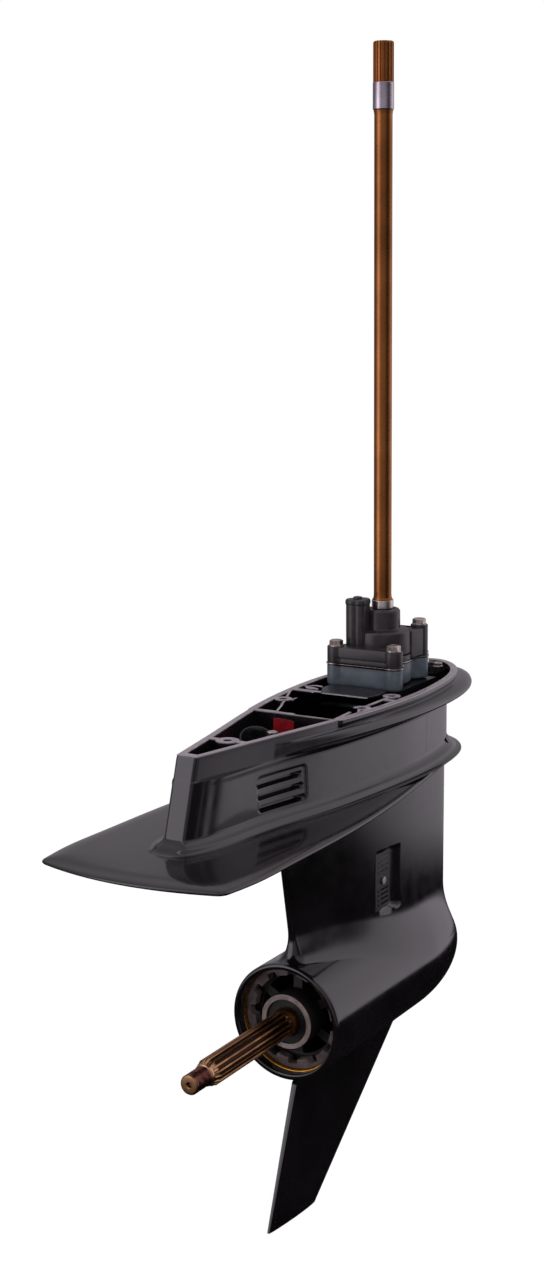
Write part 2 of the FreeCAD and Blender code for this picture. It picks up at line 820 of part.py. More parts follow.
def drain_hole(y):
    """Blind plug hole on the port side of the torpedo."""
    x = -S.torpedo_radius.value
    z = -S.axis_drop.value
    return pipe_shape(PLUG_RADIUS + S.fit_gap.value, (x - 5.0, y, z), (x + PLUG_LENGTH, y, z))


keep(solid_feature("GearHousing", make_gear_housing()), "gear_housing")

# Deck fittings

bushing = fuse("BushingBody", [
    cylinder("BushingDisc", S.bushing_radius, S.bushing_height + 2, (0, shift_y, -S.bushing_height)),
    block("BushingEars", (-S.bushing_screw_x - 5, shift_y - 5, -S.bushing_height),
          (S.bushing_screw_x + 5, shift_y + 5, -2)),
])
bushing_cuts = [cylinder("BushingBore", S.shift_shaft + S.run_gap, 20, (0, shift_y, -10))]
screw_parts = []
for side in (-1, 1):
    x = side * S.bushing_screw_x
    bushing_cuts.append(cylinder("BushingHole", S.bushing_screw + S.run_gap, 20, (x, shift_y, -10)))
    screw_parts.append(fuse("BushingScrew", [
        cylinder("ScrewShank", S.bushing_screw, 14, (x, shift_y, -S.bushing_height - 8)),
        prism("ScrewHead", S.bushing_screw * 2, 4, (x, shift_y, -2)),
    ]))
keep(cut("ShiftBushing", bushing, bushing_cuts), "shift_bushing")
keep(group("BushingScrews", screw_parts), "shift_bushing_screws")

guide_rear = S.pump_wall_y + 4
pedestal_rear = -S.pump_rear - 4
guide = block("GuideBlock", (-S.guide_half, guide_rear + 3, -S.tray_floor),
              (S.guide_half, pedestal_rear - S.loose_gap, S.guide_top))
guide_hole = cylinder("GuideHole", S.guide_bore, S.tray_floor * 2,
                      (-S.chamber_fitting_x, (guide_rear - S.pump_rear) / 2, -S.tray_floor - 10))
keep(cut("WaterTubeGuide", guide, [guide_hole]), "water_tube_guide")
keep(block("SealPlate", (-S.guide_half, guide_rear, S.guide_top - 10.5),
           (S.guide_half, guide_rear + 3, S.guide_top)), "exhaust_seal_plate")

bolt_y = S.rear_boss_y + 45
keep(fuse("ChamberBolt", [
    cylinder("ChamberBoltShank", 3, 14, (4, bolt_y, -S.chamber_floor)),
    prism("ChamberBoltHead", 7, 6, (4, bolt_y, -S.chamber_floor + 14)),
]), "chamber_bolt")
tube_y = S.rear_boss_y + 70
keep(cut("ChamberTube", cylinder("TubeOuter", 12, 30, (-S.chamber_fitting_x, tube_y, -S.chamber_floor)),
         [cylinder("TubeInner", 9, 26, (-S.chamber_fitting_x, tube_y, -S.chamber_floor + 6))]), "chamber_tube")
tag_y = tube_y + 4
keep(block("RedTag", (8, tag_y, -S.chamber_floor), (9, tag_y + 32, -S.chamber_floor + 42)), "red_tag")

# Water inlets

grilles = []
inlet_screws = []
for side in (-1, 1):
    face = S.inlet_face if side > 0 else -S.inlet_face
    inner = face - side * S.grille_thick
    low_x, high_x = (inner, face) if side > 0 else (face, inner)
    plate = block("GrillePlate", (low_x, S.inlet_y - S.inlet_width / 2, S.inlet_z - S.inlet_length / 2),
                  (high_x, S.inlet_y + S.inlet_width / 2, S.inlet_z + S.inlet_length / 2))
    slots = []
    for i in range(-5, 6):
        slot_z = S.inlet_z + i * 5
        if abs(i) > 1:
            slots.append(block("GrilleSlot", (low_x - 1, S.inlet_y - 4, slot_z - 1.2),
                               (high_x + 1, S.inlet_y + S.inlet_width / 2 - 4, slot_z + 1.2)))
            slots.append(block("GrilleHole", (low_x - 1, S.inlet_y - 11, slot_z - 1.2),
                               (high_x + 1, S.inlet_y - 8.5, slot_z + 1.2)))
    slots.append(cylinder("GrilleScrewHole", S.inlet_screw + S.fit_gap, 20,
                          (face - side * 10, S.inlet_y, S.inlet_z), "+X" if side > 0 else "-X"))
    grilles.append(cut("Grille", plate, slots))
    along = "-X" if side > 0 else "+X"
    inlet_screws.append(fuse("InletScrew", [
        cylinder("InletScrewShank", S.inlet_screw, 10, (face, S.inlet_y, S.inlet_z), along),
        cylinder("InletScrewHead", 4, 1.8, (face + side * 1.8, S.inlet_y, S.inlet_z), along),
    ]))
keep(group("InletGrilles", grilles), "inlet_grilles")
keep(group("InletScrews", inlet_screws), "inlet_screws")

plugs = []
for y in DRAIN_PLACES:
    start = -S.torpedo_radius
    plug = cylinder("PlugShank", PLUG_RADIUS, PLUG_LENGTH - 1, (start, y, -S.axis_drop), "+X")
    head = cylinder("PlugHead", PLUG_RADIUS + 3, 4, (start - 4, y, -S.axis_drop), "+X")
    driver = block("PlugSlot", (start - 5, y - 6, -S.axis_drop - 1), (start - 2, y + 6, -S.axis_drop + 1))
    plugs.append(cut("Plug", fuse("PlugBody", [plug, head]), [driver]))
keep(group("GearOilPlugs", plugs), "gear_oil_plugs")

# Water pump


def pump_outline(body, name, offset):
    """The eight-cornered outline that base, gasket and plate share."""
    sketch = new_sketch(body, name, "XY_Plane", offset)
    side = S.rear_bolt_x + S.column_radius + 0.8
    waist = S.front_bolt_x + S.column_radius + 0.8
    corners = [(-S.pump_half, -S.pump_rear), (S.pump_half, -S.pump_rear), (side, S.rear_bolt_y),
               (waist + 2, S.rear_bolt_y + 16), (waist, S.pump_front), (-waist, S.pump_front),
               (-waist - 2, S.rear_bolt_y + 16), (-side, S.rear_bolt_y)]
    draw_polygon(sketch, corners)
    return sketch


def pump_layer(name, low, thick, bore, bolt_sides=(-1, 1)):
    """One flat layer of the pump stack, with its bolt holes."""
    body = doc.addObject("PartDesign::Body", name)
    sketch = pump_outline(body, name + "_outline", low)
    if bore is not None:
        draw_circle(sketch, bore)
    for side in bolt_sides:
        draw_circle(sketch, S.bolt_radius + S.fit_gap, side * S.rear_bolt_x, S.rear_bolt_y)
        draw_circle(sketch, S.bolt_radius + S.fit_gap, side * S.front_bolt_x, S.front_bolt_y)
    pad = body.newObject("PartDesign::Pad", name + "_pad")
    pad.Profile = sketch
    bind(pad, "Length", thick)
    sketch.Visibility = False
    return body


base_top = S.pump_seat + S.base_height
gasket_top = base_top + S.gasket_thick
plate_top = gasket_top + S.plate_gauge
seal_outer = as_size(17.0)
base_bore = S.shaft_radius + 2.5
base_flange = pump_layer("BaseFlange", S.pump_seat, S.base_height, base_bore)
base_spigot = ring("BaseSpigot", S.spigot_radius - S.run_gap, base_bore, bearing_top + S.fit_gap, S.pump_seat + 1)
seal_seat = cylinder("SealSeat", seal_outer + S.fit_gap, S.spigot_depth - 6, (0, 0, bearing_top))
keep(cut("PumpBase", fuse("PumpBaseBody", [base_flange, base_spigot]), [seal_seat]), "pump_base")
keep(pump_layer("PumpGasket", base_top, S.gasket_thick, S.impeller_radius), "pump_gasket")
keep(pump_layer("PumpPlate", gasket_top, S.plate_gauge, S.shaft_radius + 2), "pump_plate")

liner_outer = S.impeller_radius + S.loose_gap + S.liner_wall
chamber_top = plate_top + S.impeller_height + 1
drum_bore = liner_outer + S.fit_gap
housing_flange = pump_layer("HousingFlange", plate_top, S.rear_bolt_seat - plate_top, None, bolt_sides=())
columns = [
    cylinder("PumpDrum", S.drum_radius, S.drum_top - plate_top, (0, 0, plate_top)),
    cylinder("PumpHub", S.hub_radius, S.hub_top - plate_top, (0, 0, plate_top)),
    block("PumpTower", (S.tower_x - S.tower_width / 2, S.tower_y - S.tower_length / 2, plate_top + 1),
          (S.tower_x + S.tower_width / 2, S.tower_y + S.tower_length / 2, S.tower_top)),
]
bolt_holes = []
for (x, y, seat) in ((S.rear_bolt_x, S.rear_bolt_y, S.rear_bolt_seat),
                     (S.front_bolt_x, S.front_bolt_y, S.front_bolt_seat)):
    for side in (-1, 1):
        columns.append(cylinder("BoltColumn", S.column_radius, seat - plate_top, (side * x, y, plate_top)))
        bolt_holes.append(cylinder("BoltBore", S.bolt_radius + S.fit_gap, seat + 10, (side * x, y, -5)))
housing_cuts = bolt_holes + [
    cylinder("LinerSeat", drum_bore, chamber_top + S.liner_wall - plate_top + 1, (0, 0, plate_top - 1)),
    cylinder("HubBore", S.shaft_radius + 1.2, S.hub_top, (0, 0, plate_top)),
    cylinder("TowerBore", S.tower_bore, S.tower_bore_depth, (S.tower_x, S.tower_y, S.tower_top - S.tower_bore_depth)),
]
keep(cut("PumpHousing", fuse("PumpHousingBody", [housing_flange] + columns), housing_cuts), "pump_housing")
keep(fuse("OutletCap", [
    block("CapBand", (S.tower_x - S.tower_width / 2 - 0.6, S.tower_y - S.tower_length / 2 - 0.6, S.tower_top),
          (S.tower_x + S.tower_width / 2 + 0.6, S.tower_y + S.tower_length / 2 + 0.6, S.tower_top + 3)),
    cylinder("CapDome", 5, 3, (S.tower_x, S.tower_y, S.tower_top + 3)),
]), "outlet_cap")

bolts = []
for (x, y, seat) in ((S.rear_bolt_x, S.rear_bolt_y, S.rear_bolt_seat),
                     (S.front_bolt_x, S.front_bolt_y, S.front_bolt_seat)):
    for side in (-1, 1):
        bolts.append(fuse("PumpBolt", [
            cylinder("PumpBoltShank", S.bolt_radius, seat - S.pump_seat + 14, (side * x, y, S.pump_seat - 14)),
            cylinder("PumpBoltWasher", S.bolt_head + 1.5, 1.2, (side * x, y, seat)),
            prism("PumpBoltHead", S.bolt_head, S.bolt_head_height, (side * x, y, seat + 1.2)),
        ]))
keep(group("PumpBolts", bolts), "pump_bolts")

liner_inner = liner_outer - S.liner_wall
keep(turned("PumpLiner", [
    (S.shaft_radius + 2, chamber_top), (liner_inner, chamber_top), (liner_inner, plate_top),
    (liner_outer, plate_top), (liner_outer, chamber_top + S.liner_wall),
    (S.shaft_radius + 2, chamber_top + S.liner_wall),
]), "pump_liner")

impeller_low = plate_top + 0.5
hub_of_impeller = S.shaft_radius + 4.5
impeller = turned("ImpellerDisc", [
    (S.shaft_radius + S.fit_gap, impeller_low), (S.impeller_radius, impeller_low),
    (S.impeller_radius, impeller_low + S.impeller_height - 0.5),
    (S.shaft_radius + S.fit_gap, impeller_low + S.impeller_height - 0.5)])
polar_pocket(impeller, "BladeGap", "XY_Plane", impeller_low + S.impeller_height,
             [(hub_of_impeller, -2.5), (S.impeller_radius + 2, -7), (S.impeller_radius + 2, 7),
              (hub_of_impeller, 2.5)], S.impeller_height + 2, 6, False)
key_slot = block("ImpellerKeySlot", (S.shaft_radius - 1, -1.6, impeller_low - 1),
                 (S.shaft_radius + 2.1, 1.6, impeller_low + S.impeller_height))
keep(cut("PumpImpeller", impeller, [key_slot]), "pump_impeller")
keep(block("ImpellerKey", (S.shaft_radius - 1.4, -1.5, impeller_low + 2),
           (S.shaft_radius + 1.9, 1.5, impeller_low + S.impeller_height - 3)), "impeller_key")

seals = []
for low in (bearing_top + 12, bearing_top + 22):
    seals.append(ring("ShaftSeal", seal_outer, S.shaft_radius + S.run_gap, low, low + 9))
keep(group("DriveshaftSeals", seals), "driveshaft_seals")
keep(ring("ShaftCollar", S.collar_radius, S.shaft_radius + S.fit_gap, S.hub_top + 1.2,
          S.hub_top + 1.2 + S.collar_height), "shaft_collar")

# Driveshaft

pinion_pitch = S.gear_module * S.pinion_teeth / 2
gear_pitch = S.gear_module * S.gear_teeth / 2
shaft_foot = gear_pitch - S.axis_drop - 17
pinion_back = gear_pitch - S.axis_drop + 4
journal_low = needle_low_rise - S.axis_drop
journal_high = journal_low + needle_height
cone_low = bearing_top - S.bearing_width
top_spline_low = S.shaft_top - S.top_spline_length
ground_band_low = top_spline_low - S.ground_band_length
driveshaft = turned("DriveshaftTurned", [
    (0, shaft_foot), (S.pinion_seat - 1.5, shaft_foot), (S.pinion_seat - 1.5, shaft_foot + 7),
    (S.pinion_seat, shaft_foot + 9), (S.pinion_seat, pinion_back + 9), (S.needle_journal, pinion_back + 9),
    (S.needle_journal, journal_high + 2), (S.needle_journal - 1.5, journal_high + 4),
    (S.needle_journal - 1.5, cone_low - 3), (S.bearing_journal + 2.5, cone_low - 3),
    (S.bearing_journal + 2.5, cone_low - 0.1), (S.bearing_journal, cone_low - 0.1),
    (S.bearing_journal, bearing_top + 1), (S.shaft_radius, bearing_top + 3),
    (S.shaft_radius, ground_band_low - 4), (S.ground_band_radius, ground_band_low),
    (S.ground_band_radius, top_spline_low), (S.top_spline_radius, top_spline_low + S.loose_gap),
    (S.top_spline_radius, S.shaft_top - 1.5), (S.top_spline_radius - 1.5, S.shaft_top), (0, S.shaft_top)])
spline_half = math.pi * S.top_spline_radius / S.top_spline_count / 2
polar_pocket(driveshaft, "TopSpline", "XY_Plane", S.shaft_top + 1,
             [(S.top_spline_radius - S.top_spline_depth, -spline_half * 0.7),
              (S.top_spline_radius + 1, -spline_half * 1.2), (S.top_spline_radius + 1, spline_half * 1.2),
              (S.top_spline_radius - S.top_spline_depth, spline_half * 0.7)],
             S.shaft_top - top_spline_low + 1, S.top_spline_count, False)
shaft_key = block("ShaftKeySeat", (S.shaft_radius - 1.5, -1.5, impeller_low + 2),
                  (S.shaft_radius + 2, 1.5, impeller_low + S.impeller_height - 3))
keep(cut("Driveshaft", driveshaft, [shaft_key]), "driveshaft")


# Tapered roller bearings: cone, rollers and cup all open towards the same end


def tapered_profile(bore, outer, width):
    """Radii of a tapered bearing: cone at both ends, and cup at both ends."""
    room = (outer - bore).value
    return {
        "cone_small": bore + room * 0.22,
        "cone_large": bore + room * 0.34,
        "cup_small": bore + room * 0.62,
        "cup_large": bore + room * 0.80,
        "width": width,
    }


def cup_edge(spec, step):
    """Inner radius of a cup where its narrow end is cut back by a step."""
    return spec["cup_small"] + (spec["cup_large"] - spec["cup_small"]) * step / spec["width"]


race_step = S.loose_gap * 2


def roller_shape(foot_radius, head_radius, foot, head, sides=8):
    """Roller between two points with a radius at each end; its corners lie on the real roller."""
    way = head - foot
    ends = []
    for radius, rise in ((foot_radius, 0.0), (head_radius, way.Length)):
        turns = [math.tau * i / sides for i in range(sides)]
        corners = [Vector(radius * math.cos(turn), radius * math.sin(turn), rise) for turn in turns]
        ends.append(Part.makePolygon(corners + corners[:1]))
    shape = Part.makeLoft(ends, True, True)
    shape.Placement = Placement(foot, Rotation(Vector(0, 0, 1), way))
    return shape


def tapered_rollers(name, spec, count, start, step, line):
    """Rollers that fill the gap between cone and cup, less the running gap."""
    gap = S.run_gap.value
    width = spec["width"].value * 0.8
    inset = spec["width"].value * 0.1
    slope_in = (spec["cone_large"] - spec["cone_small"]).value / spec["width"].value
    slope_out = (spec["cup_large"] - spec["cup_small"]).value / spec["width"].value
    inner = [spec["cone_small"].value + slope_in * d + gap for d in (inset, inset + width)]
    outer = [spec["cup_small"].value + slope_out * d - gap for d in (inset, inset + width)]
    radii = [(b - a) / 2 - gap for a, b in zip(inner, outer)]
    middles = [(a + b) / 2 for a, b in zip(inner, outer)]
    along = Vector(0, 0, 1) if line == "shaft" else Vector(0, 1, 0)
    foot = Vector(middles[0], 0, 0) + along * (start.value + step * inset)
    head = Vector(middles[1], 0, 0) + along * (start.value + step * (inset + width))
    roller = roller_shape(radii[0], radii[1], foot, head)
    shape = Part.makeCompound(polar_copies(roller, count, Vector(0, 0, 0), along))
    if line == "prop":
        shape.translate(Vector(0, 0, -S.axis_drop.value))
    return solid_feature(name, shape)


upper_spec = tapered_profile(S.bearing_journal, S.upper_cup, S.bearing_width)
keep(turned("UpperBearingCup", [
    (upper_spec["cup_large"], cone_low), (S.upper_cup, cone_low), (S.upper_cup, bearing_top),
    (upper_spec["cup_small"], bearing_top)]), "upper_bearing_cup")
keep(turned("UpperBearingCone", [
    (S.bearing_journal + S.fit_gap, cone_low), (upper_spec["cone_large"], cone_low),
    (upper_spec["cone_small"], bearing_top), (S.bearing_journal + S.fit_gap, bearing_top)]), "upper_bearing_cone")
keep(tapered_rollers("UpperBearingRollers", upper_spec, int(S.roller_count.value), bearing_top, -1, "shaft"),
     "upper_bearing_rollers")

needle_shell = S.shaft_tunnel
needle_pitch = (S.needle_journal + needle_shell - 2) / 2
needle_radius = (needle_shell - 2 - S.needle_journal) / 2 - S.run_gap
needle_cage = ring("NeedleShell", needle_shell - S.fit_gap, needle_shell - 2, journal_low, journal_high)
needles = roller_shape(needle_radius.value, needle_radius.value, Vector(needle_pitch.value, 0, journal_low.value + 2),
                       Vector(needle_pitch.value, 0, journal_high.value - 2))
needle_set = solid_feature("NeedleRollers", Part.makeCompound(
    polar_copies(needles, int(S.roller_count.value), Vector(0, 0, 0), Vector(0, 0, 1))))
keep(group("LowerNeedleBearing", [needle_cage, needle_set]), "lower_needle_bearing")

# Bevel gears: straight teeth that taper to the point where both axes cross


def tooth_ring(count, mate, first):
    """Teeth of one bevel gear about +Z, apex at the origin, large end towards +Z."""
    module = S.gear_module.value
    face = S.face_width.value
    pitch_radius = module * count / 2
    mate_radius = module * mate / 2
    slant = math.hypot(pitch_radius, mate_radius)
    cone_angle = math.atan2(pitch_radius, mate_radius)
    inner_share = (slant - face) / slant
    top = module * 0.66
    root = module * 0.86
    half_pitch = module * math.pi / 2 * 0.5 * 0.72
    flare = math.tan(math.radians(24))

    def section(share):
        corners = []
        for rise, side in ((-root - 0.4, -1), (top, -1), (top, 1), (-root - 0.4, 1)):
            half = half_pitch - rise * flare
            radial = pitch_radius + rise * math.cos(cone_angle)
            axial = mate_radius - rise * math.sin(cone_angle)
            corners.append(Vector(radial * share, side * half * share, axial * share))
        return Part.makePolygon(corners + corners[:1])

    tooth = Part.makeLoft([section(inner_share), section(1.0)], True, True)
    root_large = (pitch_radius - root * math.cos(cone_angle), mate_radius + root * math.sin(cone_angle))
    root_small = (root_large[0] * inner_share, root_large[1] * inner_share)
    teeth = polar_copies(tooth, count, Vector(0, 0, 0), Vector(0, 0, 1), first)
    return teeth, root_small, root_large


def bevel_blank(points):
    face = Part.Face(Part.makePolygon([Vector(r, 0, z) for r, z in points + points[:1]]))
    return face.revolve(Vector(0, 0, 0), Vector(0, 0, 1), 360)


def many_sided_blank(points, first, sides=28):
    """Solid through many-sided sections at (radius, height), with the middle of a flat at the first angle."""
    sections = []
    for radius, height in points:
        turns = [math.radians(first + 360.0 * (i + 0.5) / sides) for i in range(sides)]
        corners = [Vector(radius * math.cos(turn), radius * math.sin(turn), height) for turn in turns]
        sections.append(Part.makePolygon(corners + corners[:1]))
    return Part.makeLoft(sections, True, True)


def make_pinion():
    count = int(S.pinion_teeth.value)
    teeth, small, large = tooth_ring(count, S.gear_teeth.value, 90.0)
    bore = S.pinion_seat.value + S.fit_gap.value
    back = gear_pitch.value + 4.0
    blank = many_sided_blank([small, large, (large[0] - 1.0, back)], 90.0)
    shape = blank.fuse(teeth).cut(pipe_shape(bore, (0, 0, 0), (0, 0, back + 5.0)))
    shape.translate(Vector(0, 0, -S.axis_drop.value))
    return shape


def make_gear(side):
    """Forward or reverse gear; side is +1 ahead of the driveshaft and -1 behind it."""
    count = int(S.gear_teeth.value)
    first = 90.0 + 180.0 / count
    teeth, small, large = tooth_ring(count, S.pinion_teeth.value, first)
    back = forward_seat_rear.value
    hub = S.forward_cone_bore.value
    hub_end = back + S.bearing_width.value + 3.0
    bore = gear_bore.value
    jaw_face = jaw_face_y.value
    blank = many_sided_blank([(S.jaw_outer.value + 1.0, jaw_face), small, large, (large[0] - 6.0, back)], first, count)
    shape = blank.fuse(teeth + [pipe_shape(hub, (0, 0, back - 1.0), (0, 0, hub_end))])
    shape = shape.cut(pipe_shape(bore, (0, 0, 0), (0, 0, hub_end + 1.0)))
    jaws = polar_copies(jaw_shape(0.6, jaw_face - 1.0, jaw_face + S.jaw_height.value + 1.0),
                        int(S.jaw_count.value), Vector(0, 0, 0), Vector(0, 0, 1), 180.0 / S.jaw_count.value)
    shape = shape.cut(jaws)
    turn = Rotation(Vector(1, 0, 0), -90 if side > 0 else 90)
    shape.Placement = Placement(Vector(0, 0, -S.axis_drop.value), turn)
    return shape


def jaw_shape(gap, low, high):
    """One wedge jaw between the inner and outer radius; gap widens it on every side."""
    span = 180.0 / S.jaw_count.value
    outer = S.jaw_outer.value + gap
    inner = S.jaw_inner.value - gap
    half_angle = math.radians(span / 2 * 0.8)
    corners = []
    for radius, sign in ((inner, -1), (outer, -1), (outer, 1), (inner, 1)):
        x = radius * math.cos(half_angle)
        y = sign * (radius * math.sin(half_angle) + gap)
        corners.append(Vector(x, y, low))
    return Part.Face(Part.makePolygon(corners + corners[:1])).extrude(Vector(0, 0, high - low))


jaw_face_y = S.gear_module * S.pinion_teeth / 2 - 7
gear_bore = S.prop_journal + 0.5
keep(solid_feature("PinionGear", make_pinion()), "pinion_gear")
nut_top = gear_pitch * (1 - S.face_width / 46.957) - S.axis_drop
keep(cut("PinionNut", prism("NutBody", 9.5, 5, (0, 0, nut_top - 5.2)),
         [cylinder("NutBore", S.pinion_seat - 1.5 + S.fit_gap, 12, (0, 0, nut_top - 8))]), "pinion_nut")
keep(solid_feature("ForwardGear", make_gear(1)), "forward_gear")
keep(solid_feature("ReverseGear", make_gear(-1)), "reverse_gear")

forward_spec = tapered_profile(S.forward_cone_bore, S.forward_cup, S.bearing_width)
front_low = forward_seat_rear
front_high = front_low + S.bearing_width
keep(turned("ForwardBearingCup", [
    (cup_edge(forward_spec, race_step), front_low + race_step), (S.forward_cup, front_low + race_step),
    (S.forward_cup, front_high), (forward_spec["cup_large"], front_high)], "prop"),
    "forward_bearing_cup")
keep(turned("ForwardBearingCone", [
    (S.forward_cone_bore + S.fit_gap, front_low), (forward_spec["cone_small"], front_low),
    (forward_spec["cone_large"], front_high), (S.forward_cone_bore + S.fit_gap, front_high)], "prop"),
    "forward_bearing_cone")
keep(tapered_rollers("ForwardBearingRollers", forward_spec, int(S.roller_count.value), front_low, 1, "prop"),
     "forward_bearing_rollers")

# Dog clutch and shift mechanism

dog_half = jaw_face_y - S.jaw_gap - S.jaw_height + 0.4


def make_clutch_dog():
    half = dog_half.value
    bore = S.clutch_shaft.value + S.run_gap.value
    shape = bevel_blank([(bore, -half), (S.jaw_outer.value, -half), (S.jaw_outer.value, half), (bore, half)])
    jaws = []
    for low, high in ((half - 0.5, half + S.jaw_height.value - 0.4), (-half - S.jaw_height.value + 0.4, 0.5 - half)):
        jaws += polar_copies(jaw_shape(0.0, low, high), int(S.jaw_count.value), Vector(0, 0, 0), Vector(0, 0, 1),
                             180.0 / S.jaw_count.value)
    shape = shape.fuse(jaws)
    groove = bevel_blank([(S.jaw_outer.value - 1.6, -1.8), (S.jaw_outer.value + 1.0, -1.8),
                          (S.jaw_outer.value + 1.0, 1.8), (S.jaw_outer.value - 1.6, 1.8)])
    hole = pipe_shape(S.cross_pin.value + S.fit_gap.value, (-40, 0, 0), (40, 0, 0))
    shape = shape.cut([groove, hole])
    shape.Placement = Placement(Vector(0, 0, -S.axis_drop.value), Rotation(Vector(1, 0, 0), -90))
    return shape


keep(solid_feature("ClutchDog", make_clutch_dog()), "clutch_dog")
pin_reach = S.jaw_outer - 1.8
keep(cylinder("CrossPin", S.cross_pin, pin_reach * 2, (-pin_reach, 0, -S.axis_drop), "+X"), "clutch_cross_pin")
keep(ring("ClutchSpringRing", S.jaw_outer - 0.2, S.jaw_outer - 1.6 + S.fit_gap, -1.5, 1.5, "prop"),
     "clutch_spring_ring")
groove_half = S.crank_pin + 0.5
spool = turned("SpoolTurned", [
    (0, -7), (S.spool_rod, -7), (S.spool_rod, shift_y - groove_half - 4),
    (S.spool_flange, shift_y - groove_half - 4), (S.spool_flange, shift_y - groove_half),
    (S.spool_rod - 0.5, shift_y - groove_half), (S.spool_rod - 0.5, shift_y + groove_half),
    (S.spool_flange, shift_y + groove_half), (S.spool_flange, shift_y + groove_half + 4),
    (0, shift_y + groove_half + 4)], "prop")
spool_hole = cylinder("SpoolPinHole", S.cross_pin + S.fit_gap, 30, (-15, 0, -S.axis_drop), "+X")
keep(cut("ShiftSpool", spool, [spool_hole]), "shift_spool")

crank_low = S.spool_flange + 1.5 - S.axis_drop
crank_high = crank_low + 5
shift_step = as_size(4.0)
shift_top = shift_step + 10
keep(fuse("ShiftShaft", [
    cylinder("ShiftRod", S.shift_shaft, shift_step - crank_high - 4, (0, shift_y, crank_high + 4)),
    cylinder("ShiftEnd", S.shift_end, shift_top - shift_step + 1, (0, shift_y, shift_step - 1)),
    prism("ShiftSquare", S.shift_shaft - 0.4, 6, (0, shift_y, crank_high - 1), "+Z", 4),
]), "shift_shaft")
crank_arm = fuse("CrankBody", [
    cylinder("CrankHub", S.shift_shaft + 3.5, crank_high - crank_low, (0, shift_y, crank_low)),
    block("CrankWeb", (0, shift_y - 4, crank_low), (S.crank_throw, shift_y + 4, crank_high)),
    cylinder("CrankEnd", 4, crank_high - crank_low, (S.crank_throw, shift_y, crank_low)),
    cylinder("CrankPin", S.crank_pin, S.spool_flange + 6, (S.crank_throw, shift_y, -4 - S.axis_drop)),
])
keep(cut("ShiftCrank", crank_arm, [
    prism("CrankSquare", S.shift_shaft - 0.4 + S.fit_gap * 2, 8, (0, shift_y, crank_high - 1), "+Z", 4)]),
    "shift_crank")

# Propeller shaft, carrier and ring nut

shaft_nose = forward_seat_rear + S.bearing_width
inner_needle = as_size(2.0)
front_journal = gear_bore - inner_needle
prop = turned("PropShaftTurned", [
    (0, shaft_nose), (front_journal - 1, shaft_nose), (front_journal, shaft_nose - 1),
    (front_journal, jaw_face_y + 2), (S.clutch_shaft, jaw_face_y + 2), (S.clutch_shaft, -jaw_face_y - 1),
    (S.prop_journal, -jaw_face_y - 1), (S.prop_journal, -S.prop_spline_front + 8),
    (S.prop_spline_radius, -S.prop_spline_front), (S.prop_spline_radius, -S.prop_spline_rear + 3),
    (S.prop_thread_radius + 1, -S.prop_spline_rear - 4), (S.prop_thread_radius + 1, -S.prop_spline_rear - 6),
    (S.prop_thread_radius, -S.prop_spline_rear - 7), (S.prop_thread_radius, -S.prop_end + 1.5),
    (S.prop_thread_radius - 1.5, -S.prop_end), (0, -S.prop_end)], "prop")
groove_wide = math.pi * S.prop_spline_radius / S.prop_spline_count / 2
polar_pocket(prop, "PropSpline", "XZ_Plane", S.prop_spline_rear + 6,
             [(S.prop_spline_radius - S.prop_spline_depth, -groove_wide * 0.85),
              (S.prop_spline_radius + 1, -groove_wide * 1.15), (S.prop_spline_radius + 1, groove_wide * 1.15),
              (S.prop_spline_radius - S.prop_spline_depth, groove_wide * 0.85)],
             S.prop_spline_rear - S.prop_spline_front - 4 + 6, S.prop_spline_count, False)
slot_half = S.shift_travel + S.cross_pin + 0.6
bore_length = shaft_nose + slot_half + 6
keep(cut("PropShaft", prop, [
    cylinder("PropBore", S.spool_rod + S.run_gap, bore_length, (0, shaft_nose + 1, -S.axis_drop), "-Y"),
    block("PropPinSlot", (-20, -slot_half, -S.axis_drop - S.cross_pin - S.run_gap),
          (20, slot_half, -S.axis_drop + S.cross_pin + S.run_gap)),
    cylinder("CotterHole", S.cotter_hole, 40, (-20, -S.cotter_y, -S.axis_drop), "+X"),
    cylinder("CentreHole", 2.5, 6, (0, -S.prop_end - 1, -S.axis_drop), "+Y"),
]), "prop_shaft")
keep(ring("ForwardGearNeedles", gear_bore - S.fit_gap, front_journal + S.run_gap, front_low, shaft_nose - 2, "prop"),
     "forward_gear_needles")

# The reverse gear's hub turns in a tapered bearing held by the carrier
reverse_outer = S.reverse_cup
reverse_spec = tapered_profile(S.forward_cone_bore, reverse_outer, S.bearing_width)
race_low = -forward_seat_rear - S.bearing_width
race_high = -forward_seat_rear
prop_centre = Vector(0, 0, -S.axis_drop.value)
keep(turned("ReverseBearingCone", [
    (S.forward_cone_bore + S.fit_gap, race_low), (reverse_spec["cone_large"], race_low),
    (reverse_spec["cone_small"], race_high), (S.forward_cone_bore + S.fit_gap, race_high)], "prop"),
    "reverse_bearing_cone")
keep(turned("ReverseBearingCup", [
    (reverse_spec["cup_large"], race_low), (reverse_outer - S.fit_gap, race_low),
    (reverse_outer - S.fit_gap, race_high - race_step), (cup_edge(reverse_spec, race_step), race_high - race_step)],
    "prop"),
    "reverse_bearing_cup")
keep(tapered_rollers("ReverseBearingRollers", reverse_spec, int(S.roller_count.value), race_high, -1, "prop"),
     "reverse_bearing_rollers")

